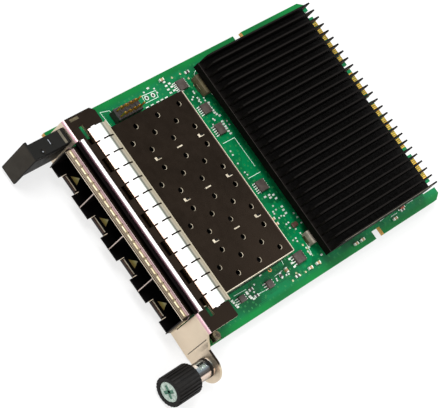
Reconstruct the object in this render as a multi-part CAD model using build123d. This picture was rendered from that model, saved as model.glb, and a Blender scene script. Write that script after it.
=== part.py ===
from build123d import *
import math
import os

# Network adapter card for a server bay. Millimetres.
# X runs across the card, right as seen from the port side.
# Y runs from the ports (negative) to the card edge (zero).
# Z is up, with zero at the middle of the board's thickness.

# Circuit board
board_width = 76.0
board_length = 115.0
board_thickness = 1.57
side_notch_from_front = 81.4
side_notch_length = 3.8
side_notch_depth = 2.7
wing_width = 3.7
wing_gap = 2.3
wing_setback = 0.4
wing_depth = 6.2
wing_chamfer_x = 1.5
wing_chamfer_y = 2.4
tongue_bevel = 0.35

# Card edge contacts
contact_count_per_group = (28, 14, 28, 14)
contact_pitch = board_width / 126.667
contact_width = contact_pitch / 1.5
contact_length = 4.0
contact_thickness = 0.05
contact_setback = 0.4
group_step = 7.5 * contact_pitch
key_slot_width = 1.6
key_slot_depth = 5.4

# Port cage, a row of sockets made of thin sheet
port_count = 4
cage_side_gap = 9.5
port_pitch = (board_width - 2 * cage_side_gap) / port_count
cage_sheet = 0.3
cage_height = 9.8
cage_overhang = 5.2
cage_length = 48.2
cage_floor_lift = 0.5
latch_notch_width = 6.3
latch_notch_depth = 3.0
latch_tongue_width = 5.9
latch_tongue_reach = 1.4
latch_lip_drop = 0.5
latch_hole_side = 3.0
latch_hole_setback = 3.6
vent_radius = 0.85
vent_side_count = 8
vent_row_count = 6
vent_first = 21.5
vent_rear_gap = 3.95
vent_row_step = (cage_length - vent_first - vent_rear_gap) / (vent_row_count - 1)
vent_side_offset = 4.0
divider_tab_length = 1.6

# Connector inside each port
connector_width = port_pitch - 3.05
connector_depth = 9.4
connector_height = 5.6
connector_slot_width = connector_width - 1.8
connector_slot_height = 1.3
connector_slot_depth = 5.0
connector_rear_gap = 1.2

# Spring strips round the cage mouth
cage_strip_length = 2.7
cage_strip_rise = 0.55
cage_strip_sheet = 0.15
cage_strip_setback = 0.2
cage_strip_pitch = 2.85
cage_strip_gap = 0.35

# Heat sink
sink_side_inset = 3.75
sink_front_gap = 14.5
sink_rear_gap = 8.5
sink_base_lift = 3.6
sink_base_thickness = 2.6
sink_fin_count = 27
sink_fin_thickness = 0.5
sink_fin_height = 4.6
sink_fin_setback = 0.8
sink_fin_rear_setback = 0.5
sink_fin_corner = 2.0
sink_post_radius = 2.2
sink_post_inset_x = 5.0
sink_post_inset_y = 9.0

# Screws that hold the heat sink from below
sink_screw_radius = 1.0
sink_screw_head_radius = 1.9
sink_screw_head_height = 1.1
sink_screw_reach = 2.6
screw_clearance = 0.1

# Controller chip under the heat sink
package_size = 28.0
package_thickness = 1.6
lid_size = 24.0
lid_thickness = 1.6

# Face plate, one folded sheet
plate_sheet = 0.8
plate_face_setback = -1.0
plate_top = 11.0
plate_bottom = -3.4
plate_left_inset = 1.8
plate_right_inset = 1.1
plate_bend_radius = 1.2
window_clearance = 0.6
flange_depth = 11.1
ear_left_width = 5.2
ear_right_width = 5.1
ear_right_inset = 2.4
flange_left_corner = 1.4
flange_right_corner = 0.3
flange_leg_inset = 2.9
bead_radius = 0.8
bead_from_front = 1.0
bead_height = 10.7
bead_beyond_cage = 0.3
bead_bar_depth = 1.7
flange_hole_back = 4.3
flange_hole_length = 4.6
flange_end_hole_left = 5.4
flange_end_hole_right = 6.2
cross_bar_back = 9.9
foot_width = 3.6
foot_from_front = 6.2
foot_reach = 2.6
screw_tab_step = 0.2
screw_tab_step_run = 1.2
screw_tab_radius = 5.0
screw_tab_slope_start_inset = 2.8
screw_tab_slope_end_beyond = 1.0

# Screws that hold the face plate's feet
foot_screw_radius = 0.8
foot_screw_head_radius = 1.3
foot_screw_head_height = 1.1
foot_screw_reach = 2.2

# Spring finger strip on top of the face plate's flange
finger_count = 13
finger_sheet = 0.15
finger_rise = 0.45
finger_slit = 0.3
finger_front = 4.7
finger_flat = 4.9
finger_shoulder = 0.5
finger_shoulder_drop = 0.25
finger_slope = 2.4
finger_foot = 0.5
finger_short_slit = 1.35
finger_solid_band = 1.45

# Thumbscrew
screw_axis_beyond_board = 4.3
screw_axis_height = 1.0
knob_radius = 4.7
knob_length = 9.0
knob_gap = 6.8
knob_travel = 4.2
knob_ribs = 26
knob_rib_depth = 0.3
knob_bore_radius = 3.3
knob_bore_end_clearance = 0.3
knob_edge = 0.7
sleeve_radius = 2.9
sleeve_bore_radius = 2.2
sleeve_length = 7.9
sleeve_mouth_radius = 1.58
sleeve_end_wall = 0.6
sleeve_spigot_radius = 2.4
sleeve_window_length = 3.6
sleeve_window_width = 2.6
sleeve_window_setback = 0.8
sleeve_window_turn = 27.0
shank_radius = 1.5
shank_neck_radius = 1.2
screw_head_radius = 3.2
screw_head_thickness = 2.2
recess_radius = 1.9
recess_depth = 0.5
ring_outer_radius = 2.12
ring_thickness = 0.7
ring_clearance = 0.05
ring_setback = 0.15
spring_wire_radius = 0.16
spring_turns = 3.5
spring_steps_per_turn = 14
round_sides = 16
fine_sides = 28

# Pull tab
pull_reach = 15.6
pull_plate_thickness = 1.1
pull_plate_width = 6.1
pull_plate_bottom = -3.2
pull_plate_top = 11.3
pull_left_inset = 2.4
pull_arm_width = 4.9
pull_arm_inset = 0.6
pull_arm_bottom = -1.6
pull_arm_top = 9.6
pull_rounding = 0.6
pull_rivet_radius = 0.9
pull_rivet_head_radius = 1.5
pull_rivet_head_height = 0.6
pull_rivet_depth = 2.0
pull_rivet_heights = (2.4, 7.2)

# Pin header and the parts soldered on the board's top
header_pitch = 2.0
header_column_count = 5
header_row_count = 2
header_base_height = 3.0
header_pin_side = 0.5
header_pin_height = 6.0
header_pin_tail = 1.0
header_inset = 5.75
header_from_front = 28.2
small_part_length = 1.6
small_part_width = 0.8
capacitor_height = 0.8
resistor_height = 0.5
chip_height = 1.0
memory_chip_height = 1.2
lead_width = 0.3
lead_length = 0.9
lead_height = 0.25
inductor_height = 3.0
inductor_corner = 0.8
inductor_inset_left = 9.15
inductor_inset_right = 10.95

# Derived places that more than one piece uses
top = board_thickness / 2
bottom = -board_thickness / 2
front = -board_length
half_board = board_width / 2
spread = board_width / 76.0
plate_left = half_board - plate_left_inset
plate_right = half_board - plate_right_inset
flange_left_inner = plate_left - ear_left_width
flange_right_outer = half_board - ear_right_inset
flange_right_inner = flange_right_outer - ear_right_width
screw_axis_x = half_board + screw_axis_beyond_board
pull_left = half_board - pull_left_inset
header_x = header_inset - half_board
sink_width = board_width - 2 * sink_side_inset
cage_half = port_count * port_pitch / 2
bead_half = cage_half + bead_beyond_cage
cage_front = front - cage_overhang
cage_rear = cage_front + cage_length
cage_top = top + cage_height
cover_bottom = cage_top - cage_sheet
floor_bottom = top + cage_floor_lift
floor_top = floor_bottom + cage_sheet
port_centres = [(i - (port_count - 1) / 2) * port_pitch for i in range(port_count)]
divider_centres = [(i - port_count / 2) * port_pitch for i in range(1, port_count)]
plate_face = front + plate_face_setback
plate_back = plate_face + plate_sheet
flange_top = top + plate_top
flange_bottom = flange_top - plate_sheet
sink_base_bottom = top + sink_base_lift
sink_base_top = sink_base_bottom + sink_base_thickness
sink_y0 = cage_rear + sink_front_gap
sink_y1 = -sink_rear_gap
screw_z = top + screw_axis_height
tab_face = plate_face + screw_tab_step
tab_back = tab_face + plate_sheet
flange_leg_x = half_board - flange_leg_inset
foot_screw_x = flange_leg_x + foot_reach / 2
foot_screw_y = front + foot_from_front + foot_width / 2
tongue_half = half_board - wing_width - wing_gap


def block(x0, x1, y0, y1, z0, z1):
    """A box given by its limits along each axis."""
    centre = Pos((x0 + x1) / 2, (y0 + y1) / 2, (z0 + z1) / 2)
    return centre * Box(abs(x1 - x0), abs(y1 - y0), abs(z1 - z0))


def rod_z(x, y, z0, z1, radius):
    """An upright round rod between two heights."""
    return Pos(x, y, (z0 + z1) / 2) * Cylinder(radius, z1 - z0)


def prism_z(x, y, z0, z1, radius):
    """An upright rod with few flat sides, for small screws."""
    return Pos(x, y, z0) * extrude(RegularPolygon(radius, round_sides), z1 - z0)


def prism_y(x, z, y0, y1, radius, sides=round_sides):
    """A rod along Y with few flat sides, for small rivets and bores."""
    return Pos(x, y1, z) * Rot(90, 0, 0) * extrude(RegularPolygon(radius, sides), y1 - y0)


def rod_y(x, z, y0, y1, radius):
    """A round rod along Y between two places."""
    return Pos(x, (y0 + y1) / 2, z) * Rot(90, 0, 0) * Cylinder(radius, y1 - y0)


def plate_z(points, z0, z1):
    """A flat plate with a polygon outline, between two heights."""
    outline = make_face(Polyline(*points, close=True))
    return extrude(Pos(0, 0, z0) * outline, z1 - z0)


def strip_x(points, x0, x1):
    """A strip along X whose section is a polygon of (y, z) points."""
    outline = make_face(Polyline(*[(0, y, z) for y, z in points], close=True))
    return Pos(x0, 0, 0) * extrude(outline, x1 - x0, dir=(1, 0, 0))


def group(solids):
    """Separate solids kept together as one piece of the list."""
    return Compound(children=list(solids))


def sink_post_places():
    """Centres of the four posts under the heat sink."""
    x = sink_width / 2 - sink_post_inset_x
    near = sink_y0 + sink_post_inset_y
    far = sink_y1 - sink_post_inset_y
    return [(sx * x, y) for sx in (-1, 1) for y in (near, far)]


def contact_places():
    """Centres of the edge contacts across the card, group by group."""
    places = []
    x = 0.0
    for count in contact_count_per_group:
        places.append([x + i * contact_pitch for i in range(count)])
        x = places[-1][-1] + group_step
    middle = places[-1][-1] / 2
    return [[x - middle for x in row] for row in places]


def header_places():
    """Centres of the header's pins."""
    return [
        (
            header_x + (column - (header_row_count - 1) / 2) * header_pitch,
            front + header_from_front + (row - (header_column_count - 1) / 2) * header_pitch,
        )
        for column in range(header_row_count)
        for row in range(header_column_count)
    ]


def make_board():
    """The board with its notches, wings, key slots and holes."""
    wing_inner = half_board - wing_width
    half = [
        (half_board, front),
        (half_board, front + side_notch_from_front),
        (half_board - side_notch_depth, front + side_notch_from_front),
        (half_board - side_notch_depth, front + side_notch_from_front + side_notch_length),
        (half_board, front + side_notch_from_front + side_notch_length),
        (half_board, -wing_setback - wing_chamfer_y),
        (half_board - wing_chamfer_x, -wing_setback),
        (wing_inner, -wing_setback),
        (wing_inner, -wing_depth),
        (tongue_half, -wing_depth),
        (tongue_half, 0),
    ]
    outline = half + [(-x, y) for x, y in reversed(half)]
    board = plate_z(outline, bottom, top)
    rows = contact_places()
    for left, right in zip(rows, rows[1:]):
        x = (left[-1] + right[0]) / 2
        board -= block(x - key_slot_width / 2, x + key_slot_width / 2, -key_slot_depth, 1, bottom - 1, top + 1)
    for x, y in sink_post_places():
        board -= prism_z(x, y, bottom - 1, top + 1, sink_screw_radius + screw_clearance)
    for side in (-1, 1):
        board -= prism_z(side * foot_screw_x, foot_screw_y, bottom - 1, top + 1, foot_screw_radius)
    for x, y in header_places():
        reach = header_pin_side / 2
        board -= block(x - reach, x + reach, y - reach, y + reach, bottom - 1, top + 1)
    rim = [edge for edge in board.edges().filter_by(Axis.X) if abs(edge.center().Y) < 0.01]
    return chamfer(rim, tongue_bevel)


def make_contacts(side):
    """Gold pads on one face of the card's tongue."""
    z0 = top if side > 0 else bottom - contact_thickness
    rear = -contact_setback
    return group(
        block(x - contact_width / 2, x + contact_width / 2, rear - contact_length, rear, z0, z0 + contact_thickness)
        for row in contact_places()
        for x in row
    )


def make_cage_tub():
    """Floor, side walls and rear wall of the cage, folded from one sheet."""
    tub = block(-cage_half, cage_half, cage_front, cage_rear, floor_bottom, floor_top)
    for side in (-1, 1):
        tub += block(side * cage_half, side * (cage_half - cage_sheet), cage_front, cage_rear, top, cover_bottom)
    tub += block(-cage_half, cage_half, cage_rear - cage_sheet, cage_rear, floor_bottom, cover_bottom)
    notch_back = cage_front + latch_notch_depth
    tongue_front = notch_back - latch_tongue_reach
    for x in port_centres:
        half = latch_notch_width / 2
        tub -= block(x - half, x + half, cage_front - 1, notch_back, floor_bottom - 1, floor_top)
        half = latch_tongue_width / 2
        tub += block(x - half, x + half, tongue_front, notch_back, floor_bottom, floor_top)
        lip_bottom = floor_bottom - latch_lip_drop
        tub += block(x - half, x + half, tongue_front, tongue_front + cage_sheet, lip_bottom, floor_top)
        tip = tongue_front + latch_hole_setback
        base = tip + latch_hole_side * math.sin(math.radians(60))
        triangle = [(x, tip), (x + latch_hole_side / 2, base), (x - latch_hole_side / 2, base)]
        tub -= plate_z(triangle, floor_bottom - 1, floor_top + 1)
    return tub


def make_cage_cover():
    """Top sheet of the cage, with vent holes and divider slots."""
    cover = block(-cage_half, cage_half, cage_front, cage_rear, cover_bottom, cage_top)
    row_y = [cage_front + vent_first + row * vent_row_step for row in range(vent_row_count)]
    holes = []
    for centre in port_centres:
        for row, y in enumerate(row_y):
            offsets = (0,) if row % 2 == 0 else (-vent_side_offset, vent_side_offset)
            holes += [(centre + offset, y) for offset in offsets]
    vent = extrude(RegularPolygon(vent_radius, vent_side_count), cage_sheet)
    for x, y in holes:
        cover -= Pos(x, y, cover_bottom) * vent
    for x in divider_centres:
        for row in (1, 3, 5):
            y = row_y[row]
            reach = divider_tab_length / 2
            cover -= block(x - cage_sheet / 2, x + cage_sheet / 2, y - reach, y + reach, cover_bottom, cage_top)
    return cover


def make_divider(x):
    """Upright wall between two ports, with tabs up into the cover."""
    half = cage_sheet / 2
    wall = block(x - half, x + half, cage_front, cage_rear - cage_sheet, floor_top, cover_bottom)
    for row in (1, 3, 5):
        y = cage_front + vent_first + row * vent_row_step
        reach = divider_tab_length / 2
        wall += block(x - half, x + half, y - reach, y + reach, cover_bottom, cage_top)
    return wall


def make_port_connector(x):
    """Edge connector at the back of one port."""
    back = cage_rear - cage_sheet - connector_rear_gap
    near = back - connector_depth
    body = block(
        x - connector_width / 2, x + connector_width / 2, near, back, floor_top, floor_top + connector_height
    )
    body = chamfer(body.edges().filter_by(Axis.X).group_by(Axis.Y)[0], 0.6)
    middle = floor_top + connector_height / 2
    body -= block(
        x - connector_slot_width / 2,
        x + connector_slot_width / 2,
        near - 1,
        near + connector_slot_depth,
        middle - connector_slot_height / 2,
        middle + connector_slot_height / 2,
    )
    return body


def cage_strip_section():
    """Arched section of a mouth strip: distance along the cage, height off it."""
    run = cage_strip_length
    return [
        (0, 0),
        (run * 0.45, cage_strip_rise - cage_strip_sheet),
        (run * 0.6, cage_strip_rise - cage_strip_sheet),
        (run - 0.4, 0),
        (run, 0),
        (run, cage_strip_sheet),
        (run - 0.35, cage_strip_sheet),
        (run * 0.62, cage_strip_rise),
        (run * 0.43, cage_strip_rise),
        (0, cage_strip_sheet),
    ]


def make_cage_strip(span):
    """A flat-lying mouth strip with fingers, centred on x = 0 and resting on z = 0."""
    strip = strip_x(cage_strip_section(), -span / 2, span / 2)
    count = round(span / cage_strip_pitch)
    solid_band = cage_strip_length - 0.5
    for i in range(1, count):
        x = (i / count - 0.5) * span
        strip -= block(x - cage_strip_gap / 2, x + cage_strip_gap / 2, -1, solid_band, -1, cage_strip_rise + 1)
    return strip


def place_cage_strips():
    """Mouth strips on the cage's four sides, each with its name."""
    y = cage_front + cage_strip_setback
    across = 2 * cage_half - 0.8
    upright = cage_height - cage_floor_lift - 0.8
    middle = (floor_bottom + cage_top) / 2
    return {
        "mouth_strip_top": Pos(0, y, cage_top) * make_cage_strip(across),
        "mouth_strip_left": Pos(-cage_half, y, middle) * Rot(0, -90, 0) * make_cage_strip(upright),
        "mouth_strip_right": Pos(cage_half, y, middle) * Rot(0, 90, 0) * make_cage_strip(upright),
    }


def make_heat_sink():
    """Base, fins and mounting posts of the heat sink, one piece."""
    half = sink_width / 2
    sink = block(-half, half, sink_y0, sink_y1, sink_base_bottom, sink_base_top)
    pitch = (sink_width - sink_fin_thickness) / (sink_fin_count - 1)
    crest = sink_base_top + sink_fin_height
    near = sink_y0 + sink_fin_setback
    far = sink_y1 - sink_fin_rear_setback
    cut = sink_fin_corner
    angles = [math.radians(45 * i) for i in range(3)]
    rounding = [(near + cut * (1 - math.sin(a)), crest - cut * (1 - math.cos(a))) for a in angles]
    section = [(near, sink_base_top), (far, sink_base_top), (far, crest)] + rounding
    for i in range(sink_fin_count):
        x = -half + i * pitch
        sink += strip_x(section, x, x + sink_fin_thickness)
    for x, y in sink_post_places():
        sink += prism_z(x, y, top, sink_base_bottom, sink_post_radius)
        sink -= prism_z(x, y, top - 1, top + sink_screw_reach, sink_screw_radius)
    return sink


def make_sink_screws():
    """Four screws up through the board into the heat sink's posts."""
    screws = []
    for x, y in sink_post_places():
        head = prism_z(x, y, bottom - sink_screw_head_height, bottom, sink_screw_head_radius)
        shank = prism_z(x, y, bottom, top + sink_screw_reach, sink_screw_radius)
        screws.append(head + shank)
    return group(screws)


def square_slab(size, z0, z1):
    """A square slab centred on the controller chip."""
    y = (sink_y0 + sink_y1) / 2
    return block(-size / 2, size / 2, y - size / 2, y + size / 2, z0, z1)


def make_tab_wall():
    """Right-hand end of the front wall, stepped back and rounded round the thumbscrew."""
    crest = flange_top - plate_bend_radius
    low = top + plate_bottom
    x_step = plate_right + screw_tab_step_run
    outline = [
        (cage_half + window_clearance, low),
        (screw_axis_x, screw_z - screw_tab_radius),
        (screw_axis_x, screw_z + screw_tab_radius),
        (half_board + screw_tab_slope_end_beyond, screw_z + screw_tab_radius),
        (half_board - screw_tab_slope_start_inset, crest),
        (cage_half + window_clearance, crest),
    ]
    face = make_face(Polyline(*[(x, 0, z) for x, z in outline], close=True))
    shape = Pos(0, plate_face - 1, 0) * extrude(face, 4, dir=(0, 1, 0))
    shape += rod_y(screw_axis_x, screw_z, plate_face - 1, plate_face + 3, screw_tab_radius)
    path = [
        (0, plate_face),
        (plate_right, plate_face),
        (x_step, tab_face),
        (screw_axis_x + 2 * screw_tab_radius, tab_face),
        (screw_axis_x + 2 * screw_tab_radius, tab_back),
        (x_step, tab_back),
        (plate_right, plate_back),
        (0, plate_back),
    ]
    sheet = plate_z(path, low - 10, flange_top + 10)
    return shape & sheet


def make_face_plate():
    """Folded face plate: front wall, top flange with slot and bead, feet and screw tab."""
    low = top + plate_bottom
    opening = cage_half + window_clearance
    window_low = floor_bottom - window_clearance
    wall_crest = flange_top - plate_bend_radius
    plate = block(-plate_left, -opening, plate_face, plate_back, low, wall_crest)
    plate += make_tab_wall()
    plate += block(-opening, opening, plate_face, plate_back, low, window_low)
    back = front + flange_depth
    bend_y = plate_face + plate_bend_radius
    ears = (
        (-plate_left, -flange_left_inner, -plate_left, flange_left_corner),
        (flange_right_inner, flange_right_outer, flange_right_outer, flange_right_corner),
    )
    for x0, x1, outer, cut in ears:
        ear = block(x0, x1, bend_y, back, flange_bottom, flange_top)
        corner = ear.edges().filter_by(Axis.Z).sort_by_distance((outer, back, flange_top))[0]
        plate += chamfer(corner, cut)
    for x0, x1 in ((-plate_left, -opening), (opening, flange_right_outer)):
        bend = rod_x(x0, x1, bend_y, wall_crest, plate_bend_radius)
        bend -= rod_x(x0 - 1, x1 + 1, bend_y, wall_crest, plate_bend_radius - plate_sheet)
        keep = block(x0, x1, plate_face - 1, bend_y, wall_crest, flange_top + 1)
        plate += bend & keep
        inner = min(abs(x0), abs(x1))
        side = 1 if x1 > 0 else -1
        bar_back = front + bead_from_front + bead_bar_depth
        plate += block(side * inner, side * flange_left_inner, bend_y, bar_back, flange_bottom, flange_top)
    plate += make_bead()
    bar_y = front + bead_from_front + bead_bar_depth
    plate += block(
        -flange_left_inner, flange_right_inner, bar_y, front + cross_bar_back, flange_bottom, flange_top
    )
    for x0, x1 in flange_holes():
        plate -= block(x0, x1, bar_y, front + flange_hole_back, flange_bottom - 1, flange_top + 1)
    plate = add_feet(plate)
    plate -= rod_y(screw_axis_x, screw_z, tab_face - 1, tab_back + 1, sleeve_spigot_radius)
    for z in pull_rivet_places():
        plate -= prism_y(pull_rivet_x(), z, plate_face - 1, plate_back + 1, pull_rivet_radius)
    return plate


def finger_pitch():
    """Distance from one finger of the wide strip to the next."""
    return (flange_right_inner + flange_left_inner) / finger_count


def flange_holes():
    """Limits across the card of the holes in the flange, one at every second finger."""
    half = flange_hole_length / 2
    centres = [-flange_left_inner + (i + 0.5) * finger_pitch() for i in range(0, finger_count, 2)]
    holes = [(x - half, x + half) for x in centres]
    holes[0] = (-half_board + flange_end_hole_left, holes[0][1])
    holes[-1] = (holes[-1][0], half_board - flange_end_hole_right)
    return holes


def make_bead():
    """Rolled bead over the ports, with the bars in front of and behind it."""
    opening = cage_half + window_clearance
    y = front + bead_from_front
    z = top + bead_height
    bead = rod_x(-bead_half, bead_half, y, z, bead_radius)
    bead += block(-opening, opening, y, y + bead_bar_depth, flange_bottom, flange_top)
    bead += block(-opening, opening, plate_face, y, flange_bottom, flange_top - plate_sheet / 2)
    return bead


def rod_x(x0, x1, y, z, radius):
    """A round rod along X between two places."""
    return Pos((x0 + x1) / 2, y, z) * Rot(0, 90, 0) * Cylinder(radius, x1 - x0)


def add_feet(plate):
    """Legs down from the flange to screw feet on the board, one each side."""
    y0 = front + foot_from_front
    y1 = y0 + foot_width
    for side in (-1, 1):
        outer = side * flange_leg_x
        inner = side * (flange_leg_x - plate_sheet)
        plate += block(outer, inner, y0, y1, top, flange_bottom + plate_sheet / 2)
        foot = block(inner, outer + side * foot_reach, y0, y1, top, top + plate_sheet)
        foot -= prism_z(side * foot_screw_x, foot_screw_y, top - 1, top + plate_sheet + 1, foot_screw_radius)
        plate += foot
    return plate


def make_foot_screws():
    """Two screws down through the feet into the board."""
    screws = []
    for side in (-1, 1):
        x = side * foot_screw_x
        seat = top + plate_sheet
        head = prism_z(x, foot_screw_y, seat, seat + foot_screw_head_height, foot_screw_head_radius)
        shank = prism_z(x, foot_screw_y, seat - foot_screw_reach, seat, foot_screw_radius)
        screws.append(head + shank)
    return group(screws)


def make_finger_strip():
    """Wide spring strip: flat fingers on the flange that slope down to the cage's top."""
    left = -flange_left_inner
    right = flange_right_inner
    y0 = front + finger_front
    y1 = y0 + finger_flat
    shoulder_y = y1 + finger_shoulder
    y2 = shoulder_y + finger_slope
    y3 = y2 + finger_foot
    crest = flange_top + finger_rise
    inner = crest - finger_sheet
    shoulder = crest - finger_shoulder_drop
    foot_top = cage_top + finger_sheet
    section = [
        (y0, flange_top),
        (y0 + 0.5, inner),
        (y1, inner),
        (shoulder_y - 0.1, shoulder - finger_sheet),
        (y2, cage_top),
        (y3, cage_top),
        (y3, foot_top),
        (y2 + 0.1, foot_top),
        (shoulder_y, shoulder),
        (y1 + 0.1, crest),
        (y0 + 0.4, crest),
        (y0 - 0.1, flange_top),
    ]
    strip = strip_x(section, left, right)
    pitch = finger_pitch()
    solid_front = y0 + finger_short_slit
    solid_back = solid_front + finger_solid_band
    for i in range(1, finger_count):
        x = left + i * pitch
        x0 = x - finger_slit / 2
        x1 = x + finger_slit / 2
        strip -= block(x0, x1, y0 - 1, solid_front, cage_top - 1, crest + 1)
        strip -= block(x0, x1, solid_back, y2 - 0.2, cage_top - 1, crest + 1)
    return strip


def fine_rod(y0, y1, radius):
    """A rod on the thumbscrew's axis with many narrow sides."""
    return prism_y(screw_axis_x, screw_z, y0, y1, radius, fine_sides)


def make_sleeve():
    """Sleeve pressed into the screw tab, with a window on top and a narrowed mouth."""
    mouth = tab_face - sleeve_length
    sleeve = fine_rod(mouth, tab_face, sleeve_radius)
    sleeve += fine_rod(tab_face, tab_back, sleeve_spigot_radius)
    sleeve -= fine_rod(mouth + sleeve_end_wall, tab_face - sleeve_end_wall, sleeve_bore_radius)
    sleeve -= fine_rod(mouth - 1, tab_back + 1, sleeve_mouth_radius)
    y1 = tab_face - sleeve_window_setback
    half = sleeve_window_width / 2
    window = block(-half, half, y1 - sleeve_window_length, y1, 1, sleeve_radius + 1)
    sleeve -= Pos(screw_axis_x, 0, screw_z) * Rot(0, -sleeve_window_turn, 0) * window
    return sleeve


def knob_ends():
    """Front and rear of the knob along Y, at rest."""
    rear = tab_face - knob_gap
    return rear - knob_length, rear


def make_knob():
    """Ribbed knob with a bore behind for the sleeve."""
    near, rear = knob_ends()
    points = []
    for i in range(2 * knob_ribs):
        radius = knob_radius if i % 2 == 0 else knob_radius - knob_rib_depth
        angle = math.pi * i / knob_ribs
        points.append((radius * math.cos(angle), radius * math.sin(angle)))
    ribbed = extrude(make_face(Polyline(*points, close=True)), knob_length)
    knob = Pos(screw_axis_x, rear, screw_z) * Rot(90, 0, 0) * ribbed
    envelope = chamfer(
        rod_y(screw_axis_x, screw_z, near, rear, knob_radius + 0.01).edges().filter_by(GeomType.CIRCLE), knob_edge
    )
    knob = knob & envelope
    bore_depth = sleeve_length - knob_gap + knob_travel + knob_bore_end_clearance
    knob -= fine_rod(rear - bore_depth, rear + 1, knob_bore_radius)
    knob -= rod_y(screw_axis_x, screw_z, near - 1, rear, shank_radius)
    knob -= fine_rod(near - 1, near + screw_head_thickness, screw_head_radius)
    return knob


def ring_place():
    """Rear-to-front limits of the retaining ring at rest."""
    near = tab_face - sleeve_length + sleeve_end_wall + ring_setback
    return near, near + ring_thickness


def make_screw():
    """Captive screw: crossed head in the knob, shank and groove for the ring."""
    near, rear = knob_ends()
    tip = tab_back
    screw = rod_y(screw_axis_x, screw_z, near, tip, shank_radius)
    screw = chamfer(screw.edges().filter_by(GeomType.CIRCLE).sort_by(Axis.Y)[-1], 0.35)
    screw += fine_rod(near, near + screw_head_thickness, screw_head_radius)
    ring_near, ring_far = ring_place()
    gap = 0.04
    groove = fine_rod(ring_near - gap, ring_far + gap, shank_radius + 1)
    groove -= fine_rod(ring_near - 1, ring_far + 1, shank_neck_radius)
    screw -= groove
    recess = fine_rod(near - 1, near + recess_depth, recess_radius)
    return screw - recess


def make_ring():
    """Retaining ring that keeps the screw in its sleeve."""
    near, far = ring_place()
    ring = fine_rod(near, far, ring_outer_radius)
    ring -= fine_rod(near - 1, far + 1, shank_neck_radius + ring_clearance)
    return ring


def make_spring():
    """Coil spring in the sleeve, between the ring and the sleeve's rear wall."""
    near = ring_place()[1]
    far = tab_face - sleeve_end_wall
    mean_radius = (shank_radius + sleeve_bore_radius) / 2
    height = far - near - 2 * spring_wire_radius
    steps = round(spring_turns * spring_steps_per_turn)
    points = []
    for i in range(steps + 1):
        angle = 2 * math.pi * i / spring_steps_per_turn
        points.append((mean_radius * math.cos(angle), mean_radius * math.sin(angle), height * i / steps))
    path = Polyline(*points)
    wire = Plane(origin=path @ 0, z_dir=path % 0) * RegularPolygon(spring_wire_radius, 4)
    coil = sweep(wire, path=path, transition=Transition.RIGHT)
    return Pos(screw_axis_x, far - spring_wire_radius, screw_z) * Rot(90, 0, 0) * coil


def make_pull_tab():
    """Moulded pull tab: an upright grip plate on an arm from the face plate."""
    plate_y = plate_face - pull_reach
    x0 = -pull_left
    grip = block(
        x0, x0 + pull_plate_width, plate_y, plate_y + pull_plate_thickness, top + pull_plate_bottom, top + pull_plate_top
    )
    grip = chamfer(grip.edges().filter_by(Axis.Y), pull_rounding)
    arm_x = x0 + pull_arm_inset
    arm = block(
        arm_x,
        arm_x + pull_arm_width,
        plate_y + pull_plate_thickness / 2,
        plate_face,
        top + pull_arm_bottom,
        top + pull_arm_top,
    )
    arm = chamfer(arm.edges().filter_by(Axis.Y), pull_rounding)
    tab = grip + arm
    for z in pull_rivet_places():
        tab -= prism_y(pull_rivet_x(), z, plate_face - pull_rivet_depth, plate_face + 1, pull_rivet_radius)
    return tab


def pull_rivet_x():
    """Place across the card of the pull tab's rivets."""
    return -pull_left + pull_arm_inset + pull_arm_width / 2


def pull_rivet_places():
    """Heights of the two rivets that hold the pull tab."""
    return [top + height for height in pull_rivet_heights]


def make_pull_rivets():
    """Two rivets through the face plate into the pull tab's arm."""
    x = pull_rivet_x()
    rivets = []
    for z in pull_rivet_places():
        rivet = prism_y(x, z, plate_face - pull_rivet_depth, plate_back, pull_rivet_radius)
        rivet += prism_y(x, z, plate_back, plate_back + pull_rivet_head_height, pull_rivet_head_radius)
        rivets.append(rivet)
    return group(rivets)


def make_header():
    """Plastic base of the pin header."""
    half_x = header_row_count * header_pitch / 2
    half_y = header_column_count * header_pitch / 2
    y = front + header_from_front
    base = block(
        header_x - half_x, header_x + half_x, y - half_y, y + half_y, top, top + header_base_height
    )
    for px, py in header_places():
        reach = header_pin_side / 2
        base -= block(px - reach, px + reach, py - reach, py + reach, top - 1, top + header_base_height + 1)
    return base


def make_header_pins():
    """Gold pins of the header, from below the board to above its base."""
    reach = header_pin_side / 2
    return group(
        block(x - reach, x + reach, y - reach, y + reach, bottom - header_pin_tail, top + header_pin_height)
        for x, y in header_places()
    )


def make_leaded_chip(x, y, size_x, size_y, height, lead_count):
    """A chip body with leads on its front and rear sides, as separate solids."""
    solids = [block(x - size_x / 2, x + size_x / 2, y - size_y / 2, y + size_y / 2, top, top + height)]
    pitch = size_x / lead_count
    for i in range(lead_count):
        lead_x = x + (i - (lead_count - 1) / 2) * pitch
        for side in (-1, 1):
            near = y + side * size_y / 2
            far = near + side * lead_length
            solids.append(block(lead_x - lead_width / 2, lead_x + lead_width / 2, near, far, top, top + lead_height))
    return group(solids)


def make_inductor(x, y, size_x, size_y):
    """Moulded power inductor with rounded corners."""
    body = block(x - size_x / 2, x + size_x / 2, y - size_y / 2, y + size_y / 2, top, top + inductor_height)
    return fillet(body.edges().filter_by(Axis.Z), inductor_corner)


def small_parts(places, length, width, height):
    """Small two-ended parts as a group; places are (x, y, turned)."""
    solids = []
    for x, y, turned in places:
        half_x = (width if turned else length) / 2
        half_y = (length if turned else width) / 2
        solids.append(block(x - half_x, x + half_x, y - half_y, y + half_y, top, top + height))
    return group(solids)


def behind_cage(places):
    """Places given as (x, distance behind the cage, turned)."""
    return [(x * spread, cage_rear + gap, turned) for x, gap, turned in places]


def beside_cage(places):
    """Places given as (distance right of the cage, distance behind the front, turned)."""
    return [(cage_half + gap, front + y, turned) for gap, y, turned in places]


def along_edges(places):
    """Places given as (side, distance inside the board's edge, distance behind the front)."""
    return [(side * (half_board - gap), front + y, True) for side, gap, y in places]


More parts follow.
